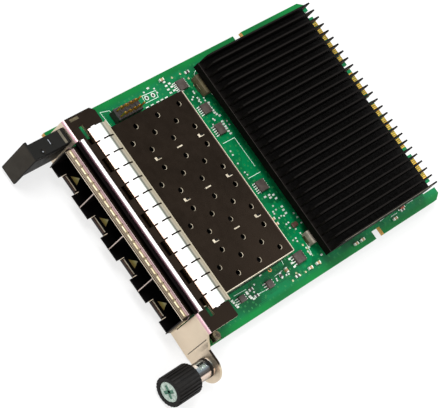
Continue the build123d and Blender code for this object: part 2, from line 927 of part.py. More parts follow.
capacitor_places = behind_cage([
    (-28.6, 4.2, True), (-26.8, 4.2, True), (-25.0, 4.2, True), (-19.0, 4.4, True),
    (-17.0, 4.4, True), (-14.8, 4.4, False), (10.6, 4.2, True), (12.4, 4.2, True),
    (14.2, 4.2, False), (16.6, 8.2, True), (18.4, 8.2, True), (20.4, 4.4, True),
])
capacitor_places += beside_cage([(2.9, 44.2, False), (6.1, 52.4, True), (6.1, 56.0, True)])
capacitor_places += along_edges([(1, 2.0, 73.0), (1, 2.0, 76.0), (1, 2.0, 92.4), (-1, 2.0, 47.0)])
resistor_places = behind_cage([
    (-27.4, 7.6, False), (-24.8, 7.4, False), (-14.6, 7.4, True), (-11.2, 4.6, True),
    (2.2, 7.2, False), (4.4, 4.6, True), (23.4, 4.6, False), (25.6, 7.0, True),
])
resistor_places += beside_cage([(3.3, 41.4, False), (6.1, 46.6, True), (2.1, 29.0, True), (4.5, 29.4, True)])
resistor_places += along_edges([(1, 3.1, 97.2), (-1, 3.4, 57.2), (-1, 4.4, 18.6)])
left_column = inductor_inset_left * spread - half_board
right_column = half_board - inductor_inset_right * spread

os.makedirs("parts", exist_ok=True)
nodes = {
    "circuit_board": make_board(),
    "edge_contacts_top": make_contacts(1),
    "edge_contacts_bottom": make_contacts(-1),
    "cage_tub": make_cage_tub(),
    "cage_cover": make_cage_cover(),
    "heat_sink": make_heat_sink(),
    "heat_sink_screws": make_sink_screws(),
    "chip_package": square_slab(package_size, top, top + package_thickness),
    "chip_lid": square_slab(lid_size, top + package_thickness, top + package_thickness + lid_thickness),
    "thermal_pad": square_slab(lid_size, top + package_thickness + lid_thickness, sink_base_bottom),
    "face_plate": make_face_plate(),
    "foot_screws": make_foot_screws(),
    "finger_strip": make_finger_strip(),
    "thumbscrew_sleeve": make_sleeve(),
    "thumbscrew_knob": make_knob(),
    "thumbscrew_screw": make_screw(),
    "thumbscrew_ring": make_ring(),
    "thumbscrew_spring": make_spring(),
    "pull_tab": make_pull_tab(),
    "pull_tab_rivets": make_pull_rivets(),
    "header_base": make_header(),
    "header_pins": make_header_pins(),
    "inductor_left": make_inductor(left_column, cage_rear + 16.75, 6.7, 6.3),
    "inductor_right": make_inductor(right_column, cage_rear + 16.5, 4.5, 5.2),
    "capacitors": small_parts(capacitor_places, small_part_length, small_part_width, capacitor_height),
    "resistors": small_parts(resistor_places, small_part_length, small_part_width, resistor_height),
    "bus_switch": make_leaded_chip(6.1 * spread - half_board, cage_rear + 9.35, 3.4, 3.5, chip_height, 6),
    "memory_chip": make_leaded_chip(cage_half + 1.75, cage_rear + 7.95, 3.5, 3.9, memory_chip_height, 4),
    "clock_chip": make_leaded_chip(-22.1 * spread, cage_rear + 11.75, 3.4, 3.3, chip_height, 5),
    "regulator_one": make_leaded_chip(-14.65 * spread, cage_rear + 11.8, 3.7, 3.0, chip_height, 5),
    "regulator_two": make_leaded_chip(6.25 * spread, cage_rear + 12.25, 3.7, 3.5, chip_height, 5),
    "port_switch_one": make_leaded_chip(cage_half + 3.05, front + 24.15, 2.1, 2.5, chip_height, 3),
    "port_switch_two": make_leaded_chip(cage_half + 3.75, front + 35.75, 2.5, 2.5, chip_height, 3),
}
for i, x in enumerate(divider_centres, start=1):
    nodes[f"cage_divider_{i}"] = make_divider(x)
for i, x in enumerate(port_centres, start=1):
    nodes[f"port_connector_{i}"] = make_port_connector(x)
nodes.update(place_cage_strips())
for name, shape in nodes.items():
    export_step(shape, f"parts/{name}.step")
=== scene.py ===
import math

import bmesh
import bpy
from mathutils import Matrix, Vector


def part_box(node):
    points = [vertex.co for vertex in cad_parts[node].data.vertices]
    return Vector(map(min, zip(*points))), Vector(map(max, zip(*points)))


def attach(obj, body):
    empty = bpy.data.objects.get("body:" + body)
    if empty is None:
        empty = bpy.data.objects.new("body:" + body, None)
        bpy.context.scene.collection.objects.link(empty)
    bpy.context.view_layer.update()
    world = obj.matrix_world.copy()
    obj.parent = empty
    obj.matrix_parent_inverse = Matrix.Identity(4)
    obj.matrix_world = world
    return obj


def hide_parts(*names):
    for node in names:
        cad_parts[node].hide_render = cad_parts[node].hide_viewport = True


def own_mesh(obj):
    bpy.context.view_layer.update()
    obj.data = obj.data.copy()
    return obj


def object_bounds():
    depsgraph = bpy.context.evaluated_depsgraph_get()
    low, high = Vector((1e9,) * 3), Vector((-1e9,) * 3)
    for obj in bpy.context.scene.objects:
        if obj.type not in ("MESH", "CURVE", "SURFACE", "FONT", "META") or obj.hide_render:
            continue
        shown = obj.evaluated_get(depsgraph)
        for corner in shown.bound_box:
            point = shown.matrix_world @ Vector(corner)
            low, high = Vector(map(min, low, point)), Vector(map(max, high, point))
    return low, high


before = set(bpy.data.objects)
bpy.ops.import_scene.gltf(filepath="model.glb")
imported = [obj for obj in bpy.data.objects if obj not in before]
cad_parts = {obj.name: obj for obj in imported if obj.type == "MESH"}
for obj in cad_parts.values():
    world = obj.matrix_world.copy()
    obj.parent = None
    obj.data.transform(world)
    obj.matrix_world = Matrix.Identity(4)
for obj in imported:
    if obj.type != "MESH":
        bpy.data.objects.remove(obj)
cad_box = [list(corner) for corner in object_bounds()]


# Sizes that several pieces share, in millimetres

MM = 0.001
TOP = 0.785
FRONT = -115.0
CAGE_HALF = 28.5
CAGE_FRONT = FRONT - 5.2
CAGE_REAR = FRONT + 43.0
CAGE_TOP = TOP + 9.8
FLANGE_TOP = TOP + 11.0
BEAD_Y = FRONT + 1
BEAD_Z = TOP + 10.7
PORT_PITCH = 14.25
PORT_CENTRES = [PORT_PITCH * step for step in (-1.5, -0.5, 0.5, 1.5)]
SCREW_X = 42.3
SCREW_Z = TOP + 1.0


# Working with one piece at a time

def leave_edit():
    """Go back to object mode."""
    bpy.ops.object.mode_set(mode="OBJECT")


def rest_tools():
    """Leave edit mode and select nothing."""
    if bpy.context.object and bpy.context.object.mode != "OBJECT":
        leave_edit()
    bpy.ops.object.select_all(action="DESELECT")


def take(piece):
    """Make one piece the only one selected."""
    rest_tools()
    piece.select_set(True)
    bpy.context.view_layer.objects.active = piece


def settle(piece):
    """Put the piece's place, turn and size into its mesh."""
    take(piece)
    bpy.ops.object.transform_apply(location=True, rotation=True, scale=True)
    return piece


def block(name, low, high):
    """A box between two corners, in millimetres."""
    rest_tools()
    bpy.ops.mesh.primitive_cube_add(size=1)
    piece = bpy.context.object
    piece.name = name
    piece.location = [(a + b) / 2 * MM for a, b in zip(low, high)]
    piece.scale = [(b - a) * MM for a, b in zip(low, high)]
    return settle(piece)


def rod(name, centre, radius, length, axis="Z", sides=32):
    """A round bar about its centre, in millimetres."""
    rest_tools()
    turn = {"X": (0, math.pi / 2, 0), "Y": (math.pi / 2, 0, 0), "Z": (0, 0, 0)}[axis]
    bpy.ops.mesh.primitive_cylinder_add(vertices=sides, radius=radius * MM, depth=length * MM)
    piece = bpy.context.object
    piece.name = name
    piece.location = [c * MM for c in centre]
    piece.rotation_euler = turn
    return settle(piece)


def apply_modifier(piece, kind, **values):
    """Add a modifier with these values and apply it."""
    take(piece)
    modifier = piece.modifiers.new(kind.lower(), kind)
    for key, value in values.items():
        setattr(modifier, key, value)
    bpy.ops.object.modifier_apply(modifier=modifier.name)
    return piece


def soften(piece, width, segments=2):
    """Round the piece's sharp edges."""
    return apply_modifier(
        piece, "BEVEL", width=width * MM, segments=segments,
        limit_method="ANGLE", angle_limit=math.radians(30),
    )


def cut(piece, tool, operation="DIFFERENCE"):
    """Take the tool's shape out of the piece, or keep only what lies inside it."""
    apply_modifier(piece, "BOOLEAN", operation=operation, object=tool, solver="EXACT")
    bpy.data.objects.remove(tool)
    return piece


def smooth(piece, angle=35):
    """Shade the piece smooth, with its sharper edges kept."""
    take(piece)
    bpy.ops.object.shade_smooth_by_angle(angle=math.radians(angle))
    return piece


def gather(name, parts):
    """Join several pieces into one."""
    rest_tools()
    for part in parts:
        part.select_set(True)
    bpy.context.view_layer.objects.active = parts[0]
    if len(parts) > 1:
        bpy.ops.object.join()
    piece = bpy.context.object
    piece.name = name
    return settle(piece)


def lay(name, model, places):
    """One copy of the model at each place (x, y, z, turn), joined into one piece."""
    copies = []
    for x, y, z, turn in places:
        copy = model.copy()
        copy.data = model.data.copy()
        bpy.context.scene.collection.objects.link(copy)
        copy.location = (x * MM, y * MM, z * MM)
        copy.rotation_euler = (0, 0, turn)
        copies.append(copy)
    bpy.data.objects.remove(model)
    return gather(name, copies)


def level(spots, height):
    """The (x, y) spots as unturned places at one height."""
    return [(x, y, height, 0) for x, y in spots]


def edit_faces(piece, wanted):
    """Open the piece in edit mode with only the wanted faces selected."""
    take(piece)
    bpy.ops.object.mode_set(mode="EDIT")
    bpy.ops.mesh.select_mode(type="FACE")
    bpy.ops.mesh.select_all(action="DESELECT")
    shape = bmesh.from_edit_mesh(piece.data)
    for face in shape.faces:
        face.select_set(wanted(face))
    bmesh.update_edit_mesh(piece.data)


def facing(direction):
    """A test for faces that look the given way."""
    way = Vector(direction)
    return lambda face: face.normal.dot(way) > 0.9


def edit_all(piece):
    """Open the piece in edit mode with all of it selected."""
    take(piece)
    bpy.ops.object.mode_set(mode="EDIT")
    bpy.ops.mesh.select_all(action="SELECT")


def move_points(piece, new_place):
    """Move each point of a piece in edit mode to the place that the function gives."""
    shape = bmesh.from_edit_mesh(piece.data)
    for vert in shape.verts:
        vert.co = new_place(vert.co)
    bmesh.update_edit_mesh(piece.data)


def turn_outwards(piece):
    """Merge doubled points and point all faces outwards."""
    edit_all(piece)
    bpy.ops.mesh.remove_doubles(threshold=0.000002)
    bpy.ops.mesh.normals_make_consistent(inside=False)
    leave_edit()
    return piece


def in_mm(corners):
    """Corners in metres as lists in millimetres."""
    return [[value / MM for value in corner] for corner in corners]


def hand_over(piece, finish, body="card", replaced=()):
    """Give the piece its finish and its body."""
    piece.data.materials.clear()
    piece.data.materials.append(FINISHES[finish])
    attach(piece, body)
    if replaced:
        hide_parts(*replaced)
    return piece


def add_bars(name, finish, boxes, width=0.02):
    """Thin bars with broken edges between (low, high) corners, as one piece."""
    bars = [soften(block("bar", low, high), width, 1) for low, high in boxes]
    return hand_over(gather(name, bars), finish)


# Nodes of the finishes

def feed(tree, socket, value):
    """Give a socket a plain value, or join it to another node."""
    if isinstance(value, bpy.types.NodeSocket):
        tree.links.new(value, socket)
    else:
        socket.default_value = value


def add_node(tree, kind, inputs=(), **settings):
    """A new node with its settings made and its inputs fed."""
    node = tree.nodes.new("ShaderNode" + kind)
    for name, value in settings.items():
        setattr(node, name, value)
    for label, value in dict(inputs).items():
        feed(tree, node.inputs[label], value)
    return node


def add_math(tree, operation, *values):
    """The result of a math node on one or two values."""
    node = add_node(tree, "Math", operation=operation)
    for socket, value in zip(node.inputs, values):
        feed(tree, socket, value)
    return node.outputs["Value"]


def add_mix(tree, factor, first, second, blend="MIX"):
    """A mix of two colours."""
    inputs = {"Factor": factor, "A": first, "B": second}
    return add_node(tree, "Mix", inputs, data_type="RGBA", blend_type=blend).outputs["Result"]


def ease(tree, value, start, end):
    """0 below the start, 1 above the end and even between them."""
    inputs = {"Value": value, "From Min": start, "From Max": end}
    return add_node(tree, "MapRange", inputs).outputs["Result"]


def split(tree, vector):
    """The three parts of a place or a normal."""
    return add_node(tree, "SeparateXYZ", {"Vector": vector}).outputs


def face_normal(tree):
    """The way that the surface looks."""
    return add_node(tree, "NewGeometry").outputs["Normal"]


def stripes(tree, along, pitch, share):
    """Stripes of 1 across a coordinate, each taking a share of the pitch."""
    step = add_math(tree, "FRACT", add_math(tree, "DIVIDE", along, pitch * MM))
    return add_math(tree, "LESS_THAN", step, share)


def rgb(red, green, blue):
    """A colour as it is seen on a screen, made linear."""
    def linear(value):
        value /= 255
        return value / 12.92 if value <= 0.04045 else ((value + 0.055) / 1.055) ** 2.4
    return (linear(red), linear(green), linear(blue), 1)


# Shared surface effects

FACING = (0.86, 0.97)
TILTS = ("Up", "Front", "Fold", "Bend", "Side")
PLACE_AND_SCALE = [("Place", "Vector", None), ("Scale", "Float", 900.0)]


def new_group(name, inputs, result, result_kind):
    """An empty node group with named inputs and one result."""
    group = bpy.data.node_groups.new(name, "ShaderNodeTree")
    for label, kind, value in inputs:
        socket = group.interface.new_socket(label, in_out="INPUT", socket_type="NodeSocket" + kind)
        if value is not None:
            socket.default_value = value
    group.interface.new_socket(result, in_out="OUTPUT", socket_type="NodeSocket" + result_kind)
    entry = group.nodes.new("NodeGroupInput").outputs
    return group, entry, group.nodes.new("NodeGroupOutput").inputs[result]


def add_noise(group, entry, detail):
    """Noise over the place, at the group's scale."""
    inputs = {"Vector": entry["Place"], "Scale": entry["Scale"], "Detail": detail}
    return add_node(group, "TexNoise", inputs).outputs["Fac"]


def make_tone_drift():
    """Slow change between two tones over the surface."""
    inputs = PLACE_AND_SCALE + [("Dark", "Color", (0, 0, 0, 1)), ("Light", "Color", (1, 1, 1, 1))]
    group, entry, leave = new_group("tone_drift", inputs, "Tone", "Color")
    share = ease(group, add_noise(group, entry, 4), 0.35, 0.65)
    group.links.new(add_mix(group, share, entry["Dark"], entry["Light"]), leave)
    return group


def make_gloss_drift():
    """Patches that are a little sharper or duller."""
    inputs = PLACE_AND_SCALE + [("Sharp", "Float", 0.3), ("Dull", "Float", 0.5)]
    group, entry, leave = new_group("gloss_drift", inputs, "Roughness", "Float")
    spread = ease(group, add_noise(group, entry, 5), 0.3, 0.7)
    group.links.new(entry["Sharp"], spread.node.inputs["To Min"])
    group.links.new(entry["Dull"], spread.node.inputs["To Max"])
    group.links.new(spread, leave)
    return group


def make_fine_grain():
    """A fine bump of even grain."""
    inputs = PLACE_AND_SCALE + [("Depth", "Float", 0.1)]
    group, entry, leave = new_group("fine_grain", inputs, "Normal", "Vector")
    values = {"Height": add_noise(group, entry, 3), "Strength": entry["Depth"], "Distance": 0.00004}
    group.links.new(add_node(group, "Bump", values).outputs["Normal"], leave)
    return group


def make_painted_facing_light():
    """Painted light for folded sheet: another tone where it lies flat, faces the ports, bends or stands
    sideways, standing for the reflection, highlight or shade that falls there.
    """
    inputs = [("Normal", "Vector", None)]
    inputs += [(label, "Color", (0.5, 0.5, 0.5, 1)) for label in TILTS]
    group, entry, leave = new_group("painted_facing_light", inputs, "Tone", "Color")
    tilt = split(group, entry["Normal"])
    front = add_math(group, "MULTIPLY", tilt["Y"], -1.0)
    lean = ease(group, add_math(group, "MINIMUM", front, tilt["Z"]), 0.1, 0.35)
    fold = add_mix(group, ease(group, front, 0.3, 0.5), entry["Bend"], entry["Fold"])
    tone = add_mix(group, lean, entry["Side"], fold)
    tone = add_mix(group, ease(group, front, *FACING), tone, entry["Front"])
    tone = add_mix(group, ease(group, tilt["Z"], *FACING), tone, entry["Up"])
    group.links.new(tone, leave)
    return group


EFFECTS = {
    "tone": make_tone_drift(), "gloss": make_gloss_drift(),
    "grain": make_fine_grain(), "tilt": make_painted_facing_light(),
}


def effect(tree, name, **inputs):
    """What a shared effect gives in a material, with its own inputs."""
    return add_node(tree, "Group", inputs, node_tree=EFFECTS[name]).outputs[0]


# Kinds of finish

def start_finish(name):
    """A new material, its nodes and the place on the object."""
    finish = bpy.data.materials.new(name)
    finish.use_nodes = True
    return finish, finish.node_tree, add_node(finish.node_tree, "TexCoord").outputs["Object"]


def vary(tree, place, colour, low, high, scale):
    """The colour made a little darker and lighter in slow patches."""
    dark, light = (low, low, low, 1), (high, high, high, 1)
    drift = effect(tree, "tone", Place=place, Scale=scale, Dark=dark, Light=light)
    return add_mix(tree, 1.0, colour, drift, "MULTIPLY")


def dress(tree, place, colour, sharp, dull, metallic=0.0, gloss_scale=900.0, grain_scale=2500.0,
          grain_depth=0.1, specular=0.5, normal=None):
    """Give the shader a colour, drifting gloss and a fine grain or another bump."""
    if normal is None:
        normal = effect(tree, "grain", Place=place, Scale=grain_scale, Depth=grain_depth)
    inputs = {
        "Base Color": colour, "Metallic": metallic, "Specular IOR Level": specular, "Normal": normal,
        "Roughness": effect(tree, "gloss", Place=place, Scale=gloss_scale, Sharp=sharp, Dull=dull),
    }
    for label, value in inputs.items():
        feed(tree, tree.nodes["Principled BSDF"].inputs[label], value)


def surface(name, dark, light, sharp, dull, metallic=0.0, tone_scale=350.0, **grain):
    """A finish with drifting tone and gloss and a fine grain."""
    finish, tree, place = start_finish(name)
    tone = effect(tree, "tone", Place=place, Scale=tone_scale, Dark=rgb(*dark), Light=rgb(*light))
    dress(tree, place, tone, sharp, dull, metallic, **grain)
    return finish


def tilted(name, tones, sharp, dull, metallic, low, high, scale, grain_depth=0.08, zone=None, specular=0.5):
    """A sheet finish with painted light: its tone follows the way each face looks, as painted reflections,
    highlights and shade; the tones are in the order of TILTS.
    """
    finish, tree, place = start_finish(name)
    colours = {label: rgb(*tone) for label, tone in zip(TILTS, tones)}
    tone = effect(tree, "tilt", Normal=face_normal(tree), **colours)
    if zone:
        tone = zone(tree, place, tone)
    colour = vary(tree, place, tone, low, high, scale)
    dress(tree, place, colour, sharp, dull, metallic, 500.0, 1800.0, grain_depth, specular)
    return finish


def banded(name, axis, stops, sharp, dull, metallic, low=0.95, high=1.04, scale=220.0):
    """A finish whose tone changes in bands along one axis; stops are (place in mm, colour)."""
    finish, tree, place = start_finish(name)
    start, end = stops[0][0], stops[-1][0]
    ramp = add_node(tree, "ValToRGB", {"Fac": ease(tree, split(tree, place)[axis], start * MM, end * MM)})
    points = ramp.color_ramp.elements
    while len(points) < len(stops):
        points.new(1.0)
    for point, (spot, colour) in zip(points, stops):
        point.position = (spot - start) / (end - start)
        point.color = rgb(*colour)
    colour = vary(tree, place, ramp.outputs["Color"], low, high, scale)
    dress(tree, place, colour, sharp, dull, metallic)
    return finish


# Finishes of the plate, the board and the heat sink

# A painted dark reflection: the tone that flat, upward-facing metal takes.
PAINTED_DARK_REFLECTION = (37, 30, 24)
MIDDLE_HALF = 28.95
BEAD_REACH = 0.83
TRACK_PITCH = 0.46
PLY_PITCH = 0.26


def paint_mouth_shade_and_bead_highlight(tree, place, tone):
    """Painted light on the plate's middle at the cage mouth: painted black shade before the bead, a painted
    dark reflection on flats behind it, olive in the holes behind it, and painted shade and highlight on the
    rolled bead.
    """
    black = rgb(16, 13, 13)
    parts = split(tree, place)
    inside = add_math(tree, "LESS_THAN", add_math(tree, "ABSOLUTE", parts["X"]), MIDDLE_HALF * MM)
    crest = add_math(tree, "GREATER_THAN", parts["Z"], (TOP + 9.9) * MM)
    # Over the cage mouth: painted black shade in front of the bead; behind it, a painted dark reflection on
    # flat faces and olive on the others.
    flat = ease(tree, split(tree, face_normal(tree))["Z"], *FACING)
    behind = ease(tree, parts["Y"], (FRONT + 1.9) * MM, (FRONT + 2.1) * MM)
    hollow = add_mix(tree, behind, black, rgb(104, 84, 54))
    dark = add_mix(tree, flat, hollow, add_mix(tree, behind, black, rgb(*PAINTED_DARK_REFLECTION)))
    middle = add_mix(tree, add_math(tree, "MULTIPLY", inside, crest), tone, dark)
    ahead = add_math(tree, "SUBTRACT", parts["Y"], BEAD_Y * MM)
    above = add_math(tree, "SUBTRACT", parts["Z"], BEAD_Z * MM)
    squares = [add_math(tree, "MULTIPLY", reach, reach) for reach in (ahead, above)]
    distance = add_math(tree, "SQRT", add_math(tree, "ADD", *squares))
    rolled = add_math(tree, "LESS_THAN", distance, BEAD_REACH * MM)
    rolled = add_math(tree, "MULTIPLY", rolled, inside)
    # The rolled bead: mauve painted shade on its front, a white painted highlight over the rest.
    bright = ease(tree, ahead, -0.72 * MM, -0.42 * MM)
    return add_mix(tree, rolled, middle, add_mix(tree, bright, rgb(140, 108, 118), rgb(253, 249, 248)))


def make_lacquer():
    """Green lacquer over copper tracks, paler at the board's rims, with tan laminate on its cut ends."""
    finish, tree, place = start_finish("green_lacquer")
    parts = split(tree, place)
    values = {"Vector": place, "Scale": 170.0, "Randomness": 0.8}
    cells = add_node(tree, "TexVoronoi", values, voronoi_dimensions="2D", distance="CHEBYCHEV")
    dice = add_node(tree, "SeparateColor", {"Color": cells.outputs["Color"]}).outputs
    across, along = (stripes(tree, parts[axis], TRACK_PITCH, 0.45) for axis in "XY")
    way = add_math(tree, "GREATER_THAN", dice["Red"], 0.5)
    either = add_node(tree, "Mix", {"Factor": way, "A": across, "B": along}).outputs["Result"]
    tracks = add_math(tree, "MULTIPLY", either, add_math(tree, "GREATER_THAN", dice["Green"], 0.55))
    poured = add_math(tree, "GREATER_THAN", dice["Blue"], 0.5)
    copper = add_math(tree, "MAXIMUM", tracks, poured)
    values = {"Vector": place, "Scale": 520.0}
    holes = add_node(tree, "TexVoronoi", values, voronoi_dimensions="2D").outputs["Distance"]
    ring = add_math(tree, "LESS_THAN", holes, 0.15)
    drilled = add_math(tree, "LESS_THAN", holes, 0.07)
    rim = ease(tree, add_math(tree, "ABSOLUTE", parts["X"]), 35.4 * MM, 36.6 * MM)
    inner = effect(tree, "tone", Place=place, Scale=110.0, Dark=rgb(0, 78, 42), Light=rgb(0, 106, 60))
    outer = effect(tree, "tone", Place=place, Scale=60.0, Dark=rgb(0, 98, 46), Light=rgb(0, 118, 52))
    calm = add_math(tree, "SUBTRACT", 1.0, rim)
    busy = add_math(tree, "MULTIPLY", copper, calm)
    face = add_mix(tree, rim, inner, outer)
    face = add_mix(tree, add_math(tree, "MULTIPLY", busy, 0.6), face, rgb(0, 122, 70))
    face = add_mix(tree, add_math(tree, "MULTIPLY", ring, calm), face, rgb(52, 140, 78))
    face = add_mix(tree, add_math(tree, "MULTIPLY", drilled, calm), face, rgb(0, 48, 28))
    tilt = split(tree, face_normal(tree))
    upright = add_math(tree, "LESS_THAN", add_math(tree, "ABSOLUTE", tilt["Z"]), 0.5)
    end_on = add_math(tree, "GREATER_THAN", add_math(tree, "ABSOLUTE", tilt["Y"]), 0.6)
    plies = stripes(tree, parts["Z"], PLY_PITCH, 0.5)
    laminate = add_mix(tree, plies, rgb(186, 138, 72), rgb(212, 168, 98))
    side = add_mix(tree, plies, rgb(0, 118, 44), rgb(2, 134, 52))
    colour = add_mix(tree, upright, face, add_mix(tree, end_on, side, laminate))
    height = add_math(tree, "SUBTRACT", add_math(tree, "MAXIMUM", busy, ring), drilled)
    bump = add_node(tree, "Bump", {"Distance": 0.00003, "Strength": 0.4, "Height": height})
    dress(tree, place, colour, 0.36, 0.5, gloss_scale=600.0, specular=0.12, normal=bump.outputs["Normal"])
    return finish


def make_anodised():
    """Black anodised aluminium, a little paler along the fins' crests."""
    finish, tree, place = start_finish("black_anodised")
    crest = ease(tree, split(tree, place)["Z"], (TOP + 10.55) * MM, (TOP + 10.79) * MM)
    drift = effect(tree, "tone", Place=place, Scale=300.0, Dark=rgb(5, 3, 2), Light=rgb(9, 7, 5))
    paler_crests = add_mix(tree, crest, drift, rgb(15, 12, 10))
    dress(tree, place, paler_crests, 0.5, 0.7, 0.0, 1500.0, 5000.0, 0.25, 0.06)
    return finish


# All finishes by their short names

